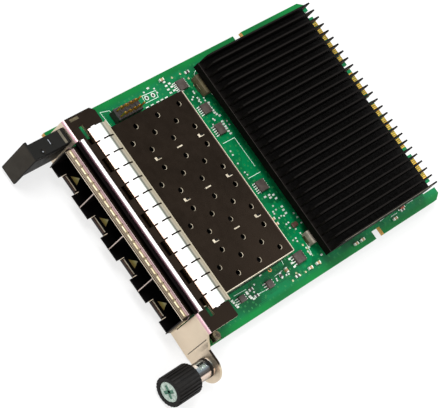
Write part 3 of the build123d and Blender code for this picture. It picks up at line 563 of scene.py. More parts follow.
FINISHES = {
    "board": make_lacquer(),
    "sink": make_anodised(),
    "gold": surface("gold_plate", (158, 116, 30), (204, 162, 64), 0.25, 0.4, 0.75, 900.0),
    # A painted highlight for the cover's folded edges and the latch lips.
    "hem": surface("hem_highlight", (214, 202, 176), (240, 230, 208), 0.25, 0.4, 0.5, 300.0),
    "steel": surface("zinc_screw", (150, 146, 138), (190, 186, 176), 0.22, 0.36, 0.9),
    "insert": surface("screw_insert", (138, 154, 144), (186, 200, 190), 0.3, 0.45, 0.5, 1500.0,
                      grain_depth=0.25),
    # Painted shade for the floor of the screw's crossed recess.
    "recess": surface("screw_recess_shade", (34, 84, 66), (60, 116, 92), 0.4, 0.55),
    "chip": surface("chip_mould", (56, 48, 44), (76, 66, 60), 0.5, 0.65, 0.0, 700.0,
                    grain_scale=6000.0, grain_depth=0.3),
    "package": surface("package_mould", (26, 26, 28), (40, 40, 42), 0.5, 0.65, grain_scale=6000.0),
    "header": surface("header_mould", (20, 17, 15), (38, 33, 29), 0.4, 0.55, grain_scale=5000.0),
    "lid": surface("chip_lid_nickel", (150, 150, 150), (185, 185, 184), 0.25, 0.4, 1.0),
    "pad": surface("thermal_pad_grey", (120, 124, 130), (140, 144, 150), 0.7, 0.85),
    "knob": surface("knob_black", (9, 8, 7), (19, 17, 15), 0.5, 0.65,
                    grain_scale=4000.0, grain_depth=0.2, specular=0.16),
    "spring": surface("spring_wire", (150, 156, 160), (196, 200, 202), 0.18, 0.3, 0.9),
    # Also used for a painted highlight on the last fin's crest and for painted shade along the plate's
    # crease.
    "patch": surface("arm_bracket", (74, 70, 58), (100, 94, 78), 0.4, 0.55, 0.3),
    "powder": surface("pressed_powder", (54, 50, 28), (82, 72, 46), 0.6, 0.8,
                      grain_scale=5000.0, grain_depth=0.4),
    "powder_pale": surface("pale_powder", (100, 94, 82), (150, 142, 128), 0.5, 0.7,
                           grain_scale=5000.0, grain_depth=0.4),
    "ceramic": surface("tan_ceramic", (150, 118, 82), (178, 146, 106), 0.4, 0.55, 0.0, 900.0),
    "film": surface("dark_film", (40, 34, 32), (58, 52, 50), 0.35, 0.5, 0.0, 900.0),
    "tin": surface("tin_ends", (196, 204, 194), (238, 242, 234), 0.35, 0.5, 0.3, 1500.0),
    "print": surface("white_print", (196, 232, 210), (226, 244, 232), 0.6, 0.75, 0.0, 2000.0),
    "copper": surface("bare_copper", (196, 120, 66), (224, 152, 96), 0.35, 0.5, 0.6),
    # Painted shade for drilled holes and screw slots.
    "hole": surface("hole_shade", (40, 24, 16), (60, 36, 24), 0.5, 0.65),
    "red_part": surface("red_coating", (150, 62, 34), (178, 84, 48), 0.4, 0.55),
    "port": surface("port_mould", (14, 14, 15), (24, 24, 25), 0.45, 0.6, grain_scale=4000.0),
    # A painted glint for the divider tabs and the vents' far edges.
    "edge_glint": surface("edge_glint_highlight", (146, 136, 116), (204, 194, 172), 0.35, 0.5, 0.3, 700.0),
    "crest": surface("crest_highlight", (206, 188, 146), (238, 224, 188), 0.35, 0.5, 0.0, 900.0),
    "brown": surface("lip_shadow", (58, 38, 30), (84, 58, 46), 0.4, 0.55),
    "foot": surface("foot_screw", (66, 60, 42), (112, 102, 78), 0.3, 0.45, 0.6, 900.0),
    # A painted highlight line for the heat sink's front edge, the knob's bevel ring and the pull tab arm's
    # side edge.
    "line": surface("edge_highlight_line", (36, 32, 30), (52, 46, 43), 0.5, 0.65, 0.0, 500.0, specular=0.2),
    # Nickel cover with painted light: a painted dark reflection on its flat top, painted lit cream on faces
    # towards the ports and on bends, and a painted dark tone on its sides.
    "cage": tilted("nickel_cover_painted_reflection", (PAINTED_DARK_REFLECTION, *[(222, 206, 186)] * 3, (44, 36, 32)),
                   0.2, 0.34, 1.0, 0.88, 1.14, 70.0),
    # Cage walls painted nearly black as the shade inside the ports, darkest on flat faces.
    "cage_walls_painted_shade": tilted("cage_walls_painted_shade", ((12, 10, 11), *[(22, 18, 18)] * 3, (20, 17, 16)),
                         0.3, 0.45, 0.6, 0.85, 1.15, 120.0),
    # Divider sheet with painted light: painted black on flat faces, a painted lit tone towards the ports
    # and on folds, and painted shade on bends and sides.
    "divider": tilted("divider_sheet", ((12, 10, 11), *[(178, 162, 154)] * 2, (30, 26, 24), (20, 17, 16)),
                      0.3, 0.45, 0.6, 0.85, 1.15, 120.0),
    # Plate with painted light: a painted dark reflection on flat faces, painted lit cream towards the
    # ports, mauve painted shade and a white painted highlight on folds and bends, tan on the sides.
    "plate": tilted("satin_plate", (PAINTED_DARK_REFLECTION, (222, 205, 182), (204, 164, 172), (246, 232, 232),
                                    (200, 184, 158)), 0.34, 0.46, 1.0, 0.97, 1.03, 90.0, zone=paint_mouth_shade_and_bead_highlight),
    # Black pull-tab plastic with painted light: lighter on faces towards the ports, darkest on flat tops
    # and sides.
    "tab": tilted("tab_mould", ((15, 15, 13), (44, 40, 34), (34, 31, 27), (30, 28, 24), (12, 11, 10)),
                  0.55, 0.7, 0.0, 0.92, 1.08, 300.0, 0.3, specular=0.12),
    # Bands across the sleeve paint its reflections: painted white highlights, a blue-grey painted
    # reflection and painted dark edges.
    "sleeve": banded("sleeve_painted_highlights", "X", [
        (39.4, (36, 27, 21)), (39.9, (60, 48, 40)), (40.15, (250, 240, 228)), (40.9, (236, 230, 224)),
        (41.3, (150, 160, 166)), (42.4, (92, 102, 108)), (43.0, (52, 50, 50)), (43.7, (34, 27, 24)),
        (44.1, (226, 204, 190)), (44.8, (196, 176, 160)), (45.2, (52, 40, 32)),
    ], 0.2, 0.35, 0.5),
    # Bands along the strip paint the fingers' light: a painted highlight on their flat tops, painted shade
    # at the shoulder and a painted tan reflection on the slope.
    "fingers": banded("fingers_painted_reflections", "Y", [
        (-110.45, (190, 140, 112)), (-110.1, (236, 206, 190)), (-109.6, (250, 244, 240)),
        (-105.9, (248, 249, 247)), (-105.45, (176, 182, 172)), (-105.0, (98, 100, 92)),
        (-104.55, (112, 112, 100)), (-104.3, (150, 146, 130)), (-103.6, (176, 168, 148)),
        (-102.6, (150, 140, 118)), (-102.1, (166, 158, 136)),
    ], 0.3, 0.42, 0.3, 0.97, 1.02),
    # Bands along the mouth fingers paint their reflections: dark towards the front, mauve towards the rear,
    # with a painted highlight at the rear edge.
    "mouth": banded("mouth_fingers", "Y", [
        (-120.05, (150, 132, 104)), (-119.8, (70, 58, 42)), (-119.5, (84, 70, 50)),
        (-118.75, (134, 118, 88)), (-118.6, (116, 96, 84)), (-118.45, (166, 136, 132)),
        (-117.8, (150, 120, 122)), (-117.45, (178, 150, 150)), (-117.3, (214, 196, 190)),
    ], 0.3, 0.45, 0.3, 0.9, 1.1, 420.0),
    # The triangle's band runs from olive at its front to a painted highlight at its rear.
    "latch": banded("latch_triangle", "Y", [
        (-116.8, (110, 74, 44)), (-115.7, (188, 176, 96)), (-114.4, (244, 236, 196)),
    ], 0.4, 0.55, 0.0),
}

CHIPS = ("bus_switch", "memory_chip", "clock_chip", "regulator_one", "regulator_two", "port_switch_one",
         "port_switch_two")
CAD_FINISHES = {
    "board": ["circuit_board"],
    "gold": ["edge_contacts_top", "edge_contacts_bottom", "header_pins"],
    "cage_walls_painted_shade": ["cage_tub"],
    "cage": ["cage_cover"],
    "divider": ["cage_divider_1", "cage_divider_2", "cage_divider_3"],
    "port": ["port_connector_1", "port_connector_2", "port_connector_3", "port_connector_4"],
    "mouth": ["mouth_strip_top", "mouth_strip_left", "mouth_strip_right"],
    "fingers": ["finger_strip"],
    "plate": ["face_plate"],
    "foot": ["foot_screws"],
    "sink": ["heat_sink"],
    "steel": ["heat_sink_screws", "pull_tab_rivets"],
    "package": ["chip_package"],
    "lid": ["chip_lid"],
    "pad": ["thermal_pad"],
    "sleeve": ["thumbscrew_sleeve"],
    "knob": ["thumbscrew_knob"],
    "insert": ["thumbscrew_screw"],
    "spring": ["thumbscrew_ring", "thumbscrew_spring"],
    "tab": ["pull_tab"],
    "header": ["header_base"],
    "powder": ["inductor_left"],
    "powder_pale": ["inductor_right"],
    "ceramic": ["capacitors"],
    "film": ["resistors"],
    "chip": CHIPS,
}
for finish, nodes in CAD_FINISHES.items():
    for node in nodes:
        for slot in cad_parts[node].material_slots:
            slot.material = FINISHES[finish]


# Camera, lamps and floor

CAMERA_PLACE = (64.10, -475.59, 466.68)
CAMERA_RIGHT = (0.57227, 0.65756, 0.49002)
CAMERA_UP = (-0.81438, 0.38545, 0.43384)
CAMERA_LENS = 173.1
AIM = (0, -0.06, 0)
LAMPS = (
    ("key_lamp", (-0.35, -0.25, 0.75), 0.45, 6.5),
    ("fill_lamp", (0.5, -0.55, 0.45), 0.4, 2.2),
    ("back_lamp", (0.25, 0.55, 0.5), 0.5, 2.2),
)


def set_camera():
    """The camera at the photograph's place and angle."""
    rest_tools()
    bpy.ops.object.camera_add()
    camera = bpy.context.object
    camera.name = "photo_camera"
    right, upward = Vector(CAMERA_RIGHT), Vector(CAMERA_UP)
    turn = Matrix((right, upward, right.cross(upward))).transposed().to_4x4()
    camera.matrix_world = Matrix.Translation(Vector(CAMERA_PLACE) * MM) @ turn
    camera.data.sensor_width = 36.0
    camera.data.lens = CAMERA_LENS
    camera.data.clip_start = 0.01
    camera.data.clip_end = 20.0
    bpy.context.scene.camera = camera


def add_lamp(name, place, size, power):
    """A square soft lamp turned to the card."""
    rest_tools()
    bpy.ops.object.light_add(type="AREA", location=place)
    lamp = bpy.context.object
    lamp.name = name
    lamp.data.shape = "SQUARE"
    lamp.data.size = size
    lamp.data.energy = power
    lamp.rotation_euler = (Vector(AIM) - Vector(place)).to_track_quat("-Z", "Y").to_euler()


def seen_rays(tree):
    """1 for a ray that shows the surface in the picture, directly, in a mirror or through glass."""
    rays = add_node(tree, "LightPath").outputs
    seen = add_math(tree, "MAXIMUM", rays["Is Camera Ray"], rays["Is Glossy Ray"])
    return add_math(tree, "MAXIMUM", seen, rays["Is Transmission Ray"])


def set_studio():
    """Pale floor, white surroundings and soft lamps."""
    rest_tools()
    low = cad_box[0][2] - 0.0002
    bpy.ops.mesh.primitive_plane_add(size=6, location=(AIM[0], AIM[1], low))
    floor = bpy.context.object
    floor.name = "floor"
    paint = bpy.data.materials.new("pale_floor")
    paint.use_nodes = True
    tree = paint.node_tree
    shader = tree.nodes["Principled BSDF"]
    shader.inputs["Base Color"].default_value = (0.9, 0.9, 0.9, 1)
    shader.inputs["Roughness"].default_value = 0.9
    glow = add_node(tree, "Emission")
    mix = add_node(tree, "MixShader", {"Fac": add_math(tree, "MULTIPLY", seen_rays(tree), 0.7)})
    tree.links.new(shader.outputs["BSDF"], mix.inputs[1])
    tree.links.new(glow.outputs["Emission"], mix.inputs[2])
    tree.links.new(mix.outputs["Shader"], tree.nodes["Material Output"].inputs["Surface"])
    floor.data.materials.append(paint)
    world = bpy.data.worlds.new("studio")
    bpy.context.scene.world = world
    world.use_nodes = True
    tree = world.node_tree
    sky = tree.nodes["Background"]
    sky.inputs["Color"].default_value = (1, 1, 1, 1)
    strength = add_math(tree, "ADD", add_math(tree, "MULTIPLY", seen_rays(tree), 0.45), 0.55)
    tree.links.new(strength, sky.inputs["Strength"])
    for name, place, size, power in LAMPS:
        add_lamp(name, place, size, power)


set_camera()
set_studio()


# Thumbscrew

KNOB_RIBS = 26
KNOB_ROOT = 4.38
KNOB_RADIUS = 4.7
RIB_HEIGHT = 0.28
SLEEVE_BORE = 3.3
BORE_DEPTH = 5.6
HEAD_RADIUS = 3.2
HEAD_START = 0.1
HEAD_END = 2.2
RUNNING_GAP = 0.04
RECESS_DEPTH = 1.5
SHANK_RADIUS = 1.5
GROOVE_RADIUS = 1.2
THREAD_ROOT = 1.28
THREAD_LENGTH = 5.2
THREAD_TURNS = 10
SPRING_RADIUS = 1.85
SPRING_TURNS = 3.5
WIRE_RADIUS = 0.16


def screw_rod(name, start, end, radius, sides=48):
    """A round bar on the screw's axis, from one place along it to another."""
    return rod(name, (SCREW_X, (start + end) / 2, SCREW_Z), radius, end - start, "Y", sides)


def make_knob():
    """Knob with fine ribs and chamfered ends, hollow behind for the sleeve."""
    low, high = in_mm(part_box("thumbscrew_knob"))
    near, rear = low[1], high[1]
    knob = screw_rod("knob", near, rear, KNOB_ROOT, 2 * KNOB_RIBS)

    def is_rib(face):
        spot = face.calc_center_median() - Vector((SCREW_X, 0, SCREW_Z)) * MM
        angle = math.atan2(spot.z, spot.x) % (2 * math.pi)
        return abs(face.normal.y) < 0.5 and int(angle / math.pi * KNOB_RIBS) % 2 == 0

    edit_faces(knob, is_rib)
    bpy.ops.mesh.extrude_region_shrink_fatten(TRANSFORM_OT_shrink_fatten={"value": RIB_HEIGHT * MM})
    leave_edit()
    cut(knob, soften(screw_rod("envelope", near, rear, KNOB_RADIUS, 96), 0.38), "INTERSECT")
    seat = HEAD_END + 0.05
    cut(knob, screw_rod("bore", rear - BORE_DEPTH, rear + 0.02, SLEEVE_BORE))
    cut(knob, screw_rod("seat", near - seat, near + seat, HEAD_RADIUS + RUNNING_GAP))
    cut(knob, screw_rod("way", near - 1, rear + 1, SHANK_RADIUS + 0.06, 32))
    smooth(knob, 25)
    return hand_over(knob, "knob", "knob", ["thumbscrew_knob"])


def cross_arms(near, far, long, wide):
    """Two tapered arms of a crossed recess, a little turned."""
    arms = []
    for size_x, size_z in ((long, wide), (wide, long)):
        arm = block("arm", (SCREW_X - size_x / 2, near, SCREW_Z - size_z / 2),
                    (SCREW_X + size_x / 2, far, SCREW_Z + size_z / 2))
        edit_faces(arm, facing((0, 1, 0)))
        middle = (SCREW_X * MM, far * MM, SCREW_Z * MM)
        bpy.ops.transform.resize(value=(0.7, 1, 0.7), center_override=middle)
        leave_edit()
        arm.data.transform(Matrix.Translation(middle) @ Matrix.Rotation(math.radians(20), 4, "Y")
                           @ Matrix.Translation(-Vector(middle)))
        arms.append(arm)
    return arms


def make_screw():
    """Crossed screw with a grooved shank and fine thread at its tip."""
    low, high = in_mm(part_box("thumbscrew_screw"))
    near, tip = low[1], high[1]
    head = soften(screw_rod("screw", near + HEAD_START, near + HEAD_END, HEAD_RADIUS), 0.3, 3)
    for arm in cross_arms(near - 1, near + RECESS_DEPTH, 4.8, 1.3):
        cut(head, arm)
    parts = [head]
    ring_low, ring_high = in_mm(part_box("thumbscrew_ring"))
    groove_near, groove_far = ring_low[1] - RUNNING_GAP, ring_high[1] + RUNNING_GAP
    thread = tip - THREAD_LENGTH
    parts.append(screw_rod("shank", near + HEAD_END, groove_near, SHANK_RADIUS, 32))
    parts.append(screw_rod("groove", groove_near, groove_far, GROOVE_RADIUS, 32))
    parts.append(screw_rod("shank", groove_far, thread, SHANK_RADIUS, 32))
    pitch = THREAD_LENGTH / THREAD_TURNS
    for i in range(THREAD_TURNS):
        crest = thread + (i + 0.5) * pitch
        middle = Vector((SCREW_X, crest, SCREW_Z)) * MM

        def on_crest(place):
            if abs(place.y - middle.y) > 0.01 * MM:
                return place
            reach = (place - middle) * (SHANK_RADIUS / THREAD_ROOT)
            return Vector((middle.x + reach.x, place.y, middle.z + reach.z))

        ridge = screw_rod("ridge", crest - pitch / 2, crest + pitch / 2, THREAD_ROOT, 32)
        edit_all(ridge)
        bpy.ops.mesh.bisect(plane_co=middle, plane_no=(0, 1, 0))
        move_points(ridge, on_crest)
        leave_edit()
        parts.append(ridge)
    screw = gather("crossed_screw", parts)
    smooth(screw, 30)
    return hand_over(screw, "insert", "knob", ["thumbscrew_screw"])


def make_screw_recess():
    """A dark piece as painted shade on the floor of the screw's crossed recess."""
    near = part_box("thumbscrew_screw")[0][1] / MM
    floor = gather("screw_recess_shade", cross_arms(near + 0.3, near + RECESS_DEPTH, 4.2, 1.1))
    soften(floor, 0.08, 1)
    return hand_over(floor, "recess", "knob")


def make_spring():
    """Coil spring round the screw."""
    low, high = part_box("thumbscrew_spring")
    near, far = low[1] / MM + WIRE_RADIUS + 0.01, high[1] / MM - WIRE_RADIUS - 0.01
    wire = bpy.data.curves.new("coil", "CURVE")
    wire.dimensions = "3D"
    wire.bevel_depth = WIRE_RADIUS * MM
    wire.bevel_resolution = 2
    line = wire.splines.new("POLY")
    steps = 84
    line.points.add(steps)
    for i, point in enumerate(line.points):
        share = i / steps
        angle = 2 * math.pi * SPRING_TURNS * share
        x, z = SCREW_X + SPRING_RADIUS * math.cos(angle), SCREW_Z + SPRING_RADIUS * math.sin(angle)
        point.co = (x * MM, (near + (far - near) * share) * MM, z * MM, 1)
    coil = bpy.data.objects.new("coil_spring", wire)
    bpy.context.scene.collection.objects.link(coil)
    take(coil)
    bpy.ops.object.convert(target="MESH")
    coil = bpy.context.object
    smooth(coil, 60)
    hand_over(coil, "spring", "card", ["thumbscrew_spring"])
    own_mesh(coil)
    return coil


make_knob()
make_screw()
make_screw_recess()
make_spring()


# Pull tab

GRIP_THICKNESS = 1.1
ARM_TOP = TOP + 9.6
ARM_BOTTOM = TOP - 1.6
ARM_INSET = 0.6
DIMPLE_RADIUS = 1.1
DIMPLE_PLACE = (-31.3, FRONT - 11.3, TOP + 10.2)


def make_pull_tab():
    """Moulded pull tab: a grip plate with an arm drawn out of its back."""
    (x0, y0, z0), (x1, y1, z1) = in_mm(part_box("pull_tab"))
    tab = block("pull_tab_moulding", (x0, y0, z0), (x1, y0 + GRIP_THICKNESS, z1))
    edit_faces(tab, facing((0, 1, 0)))
    bpy.ops.mesh.inset(thickness=ARM_INSET * MM)
    shape = bmesh.from_edit_mesh(tab.data)
    for vert in {v for face in shape.faces if face.select for v in face.verts}:
        vert.co.z = (ARM_BOTTOM if vert.co.z < 4 * MM else ARM_TOP) * MM
    bmesh.update_edit_mesh(tab.data)
    arm = (0, (y1 - y0 - GRIP_THICKNESS) * MM, 0)
    bpy.ops.mesh.extrude_region_move(TRANSFORM_OT_translate={"value": arm})
    leave_edit()
    soften(tab, 0.45, 3)
    rest_tools()
    bpy.ops.mesh.primitive_uv_sphere_add(segments=24, ring_count=12, radius=DIMPLE_RADIUS * MM)
    dimple = bpy.context.object
    dimple.location = Vector(DIMPLE_PLACE) * MM
    cut(tab, settle(dimple))
    cut(tab, block("mark", (-34.2, FRONT - 7.45, ARM_TOP - 0.15), (-31.8, FRONT - 7.15, ARM_TOP + 0.4)))
    smooth(tab, 30)
    return hand_over(tab, "tab", "card", ["pull_tab"])


def make_tab_details():
    """A bracket on the pull tab's arm, painted highlights beside its groove and dimple and along its side
    edge, and the patch on the ear beside it.
    """
    add_bars("arm_bracket", "patch", [
        ((-34.8, FRONT - 3.2, ARM_TOP), (-30.4, FRONT - 2.3, ARM_TOP + 0.05)),
    ])
    add_bars("arm_mark_highlights", "pad", [
        ((-33.8, FRONT - 7.75, ARM_TOP), (-32.2, FRONT - 7.5, ARM_TOP + 0.03)),
        ((-31.5, FRONT - 11.5, ARM_TOP - 0.05), (-31.1, FRONT - 11.15, ARM_TOP + 0.02)),
    ])
    add_bars("ear_patch", "foot", [
        ((-35.6, FRONT + 1.3, FLANGE_TOP), (-34.7, FRONT + 4.6, FLANGE_TOP + 0.03)),
    ])
    add_bars("arm_ledge_highlight", "line", [
        ((-30.1, FRONT - 15, ARM_TOP - 1.9), (-29.95, FRONT - 1.3, ARM_TOP - 1.6)),
    ])


make_pull_tab()


# Spring finger strips

FINGER_COUNT = 13
FINGER_GAP = 0.5
MOUTH_PITCH = 2.85
MOUTH_GAP = 0.42
TOUCH = 0.002


def draw_sheet(name, rows, thickness):
    """A sheet drawn through rows of (y, z, width), one after another, then thickened."""
    rest_tools()
    bpy.ops.mesh.primitive_plane_add(size=1)
    sheet = bpy.context.object
    sheet.name = name
    edit_all(sheet)

    def on_first_rows(place):
        y, z, width = rows[0] if place.y < 0 else rows[1]
        return Vector((math.copysign(width / 2, place.x), y, z)) * MM

    move_points(sheet, on_first_rows)
    for (y0, z0, width0), (y1, z1, width1) in zip(rows[1:], rows[2:]):
        bpy.ops.mesh.select_mode(type="EDGE")
        bpy.ops.mesh.select_all(action="DESELECT")
        shape = bmesh.from_edit_mesh(sheet.data)
        for edge in shape.edges:
            ends = [vert.co / MM for vert in edge.verts]
            if all(abs(co.y - y0) < 1e-3 and abs(co.z - z0) < 1e-3 for co in ends):
                edge.select_set(True)
        bmesh.update_edit_mesh(sheet.data)
        step = (0, (y1 - y0) * MM, (z1 - z0) * MM)
        bpy.ops.mesh.extrude_region_move(TRANSFORM_OT_translate={"value": step})
        bpy.ops.transform.resize(value=(width1 / width0, 1, 1), center_override=(0, y1 * MM, z1 * MM))
    leave_edit()
    turn_outwards(sheet)
    if sheet.data.polygons[len(sheet.data.polygons) // 2].normal.z < 0:
        edit_all(sheet)
        bpy.ops.mesh.flip_normals()
        leave_edit()
    return apply_modifier(sheet, "SOLIDIFY", thickness=thickness * MM, offset=-1)


def make_finger_strip():
    """Wide strip: fingers that lie on the flange and slope down to the cage."""
    low, high = in_mm(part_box("finger_strip"))
    left, ground, crest = low[0], low[2], high[2]
    y0 = low[1] + 0.1
    pitch = (high[0] - left) / FINGER_COUNT
    slim, full = pitch - FINGER_GAP, pitch - TOUCH
    rows = [
        (y0, FLANGE_TOP + 0.2, slim), (y0 + 0.25, crest - 0.1, slim), (y0 + 0.6, crest, slim),
        (y0 + 1.2, crest, slim), (y0 + 1.3, crest, slim + 0.14), (y0 + 1.35, crest, full),
        (y0 + 2.75, crest, full), (y0 + 2.8, crest, slim + 0.14), (y0 + 2.9, crest, slim),
        (y0 + 4.85, crest, slim), (y0 + 5.15, crest - 0.08, slim), (y0 + 5.4, crest - 0.25, slim),
        (y0 + 6.2, crest - 0.66, slim), (y0 + 7.0, crest - 1.07, slim), (y0 + 7.6, ground + 0.27, slim),
        (y0 + 7.75, ground + 0.19, full), (y0 + 8.25, ground + 0.16, full),
    ]
    places = [(left + (i + 0.5) * pitch, 0, 0, 0) for i in range(FINGER_COUNT)]
    strip = lay("spring_finger_strip", draw_sheet("finger", rows, 0.15), places)
    smooth(strip, 40)
    return hand_over(strip, "fingers", "card", ["finger_strip"])


def make_mouth_strip(side):
    """Row of small arched fingers round one side of the cage's mouth."""
    node = "mouth_strip_" + side
    low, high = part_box(node)
    span = (high[0] - low[0] if side == "top" else high[2] - low[2]) / MM
    count = round(span / MOUTH_PITCH)
    pitch = span / count
    slim, full = pitch - MOUTH_GAP, pitch - TOUCH
    rows = [
        (0, 0.14, full), (0.35, 0.26, full), (0.75, 0.42, full), (1.1, 0.52, full), (1.3, 0.53, full),
        (1.36, 0.53, slim), (1.64, 0.53, slim), (1.7, 0.52, full), (2.0, 0.42, full), (2.3, 0.27, full),
        (2.45, 0.16, full), (2.7, 0.14, full),
    ]
    finger = draw_sheet("mouth_finger", rows, 0.12)
    crest = draw_sheet("crest", [(0.66, 0.41, 2.0), (0.8, 0.47, 2.0), (1.0, 0.52, 2.0)], 0.05)
    places = [((i + 0.5) * pitch - span / 2, 0, 0, 0) for i in range(count)]
    strip = lay("mouth_fingers_" + side, finger, places)
    crests = lay("mouth_crests_" + side, crest, places)
    middle = (low[2] + high[2]) / 2
    front = low[1]
    spots = {"top": (0, front, low[2]), "left": (high[0], front, middle), "right": (low[0], front, middle)}
    turns = {"top": 0, "left": -math.pi / 2, "right": math.pi / 2}
    for piece in (strip, crests):
        piece.location = spots[side]
        piece.rotation_euler = (0, turns[side], 0)
        settle(piece)
        smooth(piece, 40)
    hand_over(crests, "crest")
    return hand_over(strip, "mouth", "card", [node])


make_finger_strip()
for side in ("top", "left", "right"):
    make_mouth_strip(side)


# Cage cover and the ends of the dividers

FIRST_ROW = CAGE_FRONT + 21.5
ROW_PITCH = 4.55
VENT_ROWS = [FIRST_ROW + row * ROW_PITCH for row in range(6)]
VENT_RADIUS = 0.85
VENT_OFFSET = 4.0


def vent_places():
    """Places of the cover's round vents."""
    places = []
    for centre in PORT_CENTRES:
        for row, y in enumerate(VENT_ROWS):
            offsets = (0,) if row % 2 == 0 else (-VENT_OFFSET, VENT_OFFSET)
            places += [(centre + offset, y) for offset in offsets]
    return places


def tab_places(rows):
    """Places of the dividers' tabs in these rows of vents."""
    return [(x, VENT_ROWS[row]) for x in (-PORT_PITCH, 0, PORT_PITCH) for row in rows]


def make_cage_cover():
    """Cover with round vents and a slot for each tab of the dividers."""
    low, high = in_mm(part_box("cage_cover"))
    cover = block("vented_cover", low, high)
    vents = [rod("vent", (x, y, CAGE_TOP - 0.15), VENT_RADIUS, 1, "Z", 28) for x, y in vent_places()]
    slots = []
    for x, y in tab_places((1, 3, 5)):
        slots.append(block("slot", (x - 0.3, y - 1.15, CAGE_TOP - 1), (x + 0.3, y + 1.15, CAGE_TOP + 1)))
    for tools in (vents, slots):
        cut(cover, gather("openings", tools))
    smooth(cover, 30)
    return hand_over(cover, "cage", "card", ["cage_cover"])


def make_cage_tabs():
    """Ends of the dividers' tabs: hooked in the outer rows of slots, straight in the middle one."""
    foot = soften(block("tab_foot", (-0.55, -1.15, 0), (0.5, -0.35, 0.18)), 0.07)
    arm = soften(block("tab_arm", (0.3, -0.5, 0), (0.55, 1.1, 0.12)), 0.04, 1)
    outer = level(tab_places((1, 5)), CAGE_TOP)
    hooks = lay("hooked_tabs", gather("hook", [foot, arm]), outer)
    straight = soften(block("tab", (-0.2, -1.1, -0.2), (0.2, 1.1, 0.12)), 0.05)
    bars = lay("straight_tabs", straight, level(tab_places((3,)), CAGE_TOP))
    tabs = gather("divider_tabs", [hooks, bars])
    smooth(tabs)
    # The tab ends carry a painted glint.
    return hand_over(tabs, "edge_glint")


def make_vent_lips():
    """Painted highlights on the inner edges of the vents on their far side."""
    radius = VENT_RADIUS - 0.01
    lip = rod("lip", (0, 0, 0), radius, 0.2, "Z", 28)
    cut(lip, rod("hollow", (-0.08, -0.1, 0), radius, 1, "Z", 28))
    lips = lay("vent_lip_highlights", lip, level(vent_places(), CAGE_TOP - 0.12))
    smooth(lips, 30)
    return hand_over(lips, "edge_glint")


def make_cage_hems():
    """Painted highlights along the cover's folded edges, with a painted shade line beside the rear one."""
    side, hem_top = CAGE_HALF, CAGE_TOP + 0.06
    add_bars("cage_hems", "hem", [
        ((-side + 0.1, CAGE_REAR - 0.2, CAGE_TOP), (side - 0.1, CAGE_REAR - 0.03, hem_top)),
        ((side - 0.22, FRONT + 1, CAGE_TOP), (side - 0.04, CAGE_REAR - 0.3, hem_top)),
        ((side, FRONT + 5, CAGE_TOP - 0.8), (side + 0.06, CAGE_REAR - 0.3, CAGE_TOP - 0.55)),
    ])
    add_bars("rear_fold_shade", "brown", [
        ((-side + 0.1, CAGE_REAR - 0.5, CAGE_TOP), (side - 0.1, CAGE_REAR - 0.22, CAGE_TOP + 0.03)),
    ])


make_cage_cover()
make_cage_tabs()
make_vent_lips()
make_cage_hems()


# Latches of the ports

LATCH_TOP = TOP + 0.8


def wedge(name, corners, low, high):
    """A flat three-sided plate over three (x, y) corners."""
    plate = rod(name, (0, 0, 0), 1, 1, "Z", 3)
    edit_all(plate)
    angles = sorted({round(math.atan2(vert.co.y, vert.co.x), 2) for vert in plate.data.vertices})

    def on_corner(place):
        x, y = corners[angles.index(round(math.atan2(place.y, place.x), 2))]
        return Vector((x, y, high if place.z > 0 else low)) * MM

    move_points(plate, on_corner)
    leave_edit()
    turn_outwards(plate)
    return soften(plate, 0.02, 1)


def make_latches():
    """Latch tongues of the ports: a raised triangle toned up to a painted highlight, a painted highlight
    line on each lip with painted shade in front of it, and a dark plate below as painted shade seen through
    the hole.
    """
    triangles, lips, shades, plates = [], [], [], []
    for centre in PORT_CENTRES:
        start, end = centre - 2.65, centre + 2.45
        corners = ((centre - 1.9, FRONT - 1.6), (centre + 1.2, FRONT - 1.6), (centre - 0.15, FRONT + 0.65))
        triangles.append(wedge("triangle", corners, LATCH_TOP, LATCH_TOP + 0.09))
        lips.append(((start, FRONT - 3.02, LATCH_TOP), (end, FRONT - 2.7, LATCH_TOP + 0.06)))
        shades.append(((start, FRONT - 3.58, LATCH_TOP), (end, FRONT - 3.04, LATCH_TOP + 0.03)))
        plates.append(((centre - 1.6, FRONT - 0.15, TOP + 0.3), (centre + 1.6, FRONT + 2.75, TOP + 0.48)))
    hand_over(gather("latch_triangles", triangles), "latch")
    add_bars("latch_lips", "hem", lips)
    add_bars("latch_shades", "brown", shades)
    add_bars("latch_shade_plates", "port", plates)


make_latches()


# Painted shade in creases and screw slots, painted highlights on edges

FOOT_SCREWS = ((-36.4, -107.0), (36.4, -107.0))
FOOT_SCREW_TOP = 2.68
SINK_SCREWS = [(x, y) for x in (-29.25, 29.25) for y in (-48.5, -17.5)]


def make_crease():
    """A darker strip as painted shade along the plate's crease beside its right leg."""
    add_bars("plate_crease_shade", "patch", [
        ((36.15, FRONT - 1.05, -1.7), (36.4, FRONT - 0.95, 9.0)),
    ])


def make_sink_highlights():
    """Painted highlights on edges of the heat sink: the base's front edge and the last fin's crest."""
    (left, front, _), (right, rear, top) = in_mm(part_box("heat_sink"))
    add_bars("sink_base_highlight", "line", [
        ((left, front, TOP + 6.2), (right, front + 0.16, TOP + 6.24)),
    ])
    add_bars("sink_fin_highlight", "patch", [
        ((right - 0.16, front + 3.0, top), (right, rear - 2.7, top + 0.04)),
    ])


def crossed(x, y, low, high, reach, half):
    """The two boxes of a crossed slot."""
    return [((x - a, y - b, low), (x + a, y + b, high)) for a, b in ((reach, half), (half, reach))]


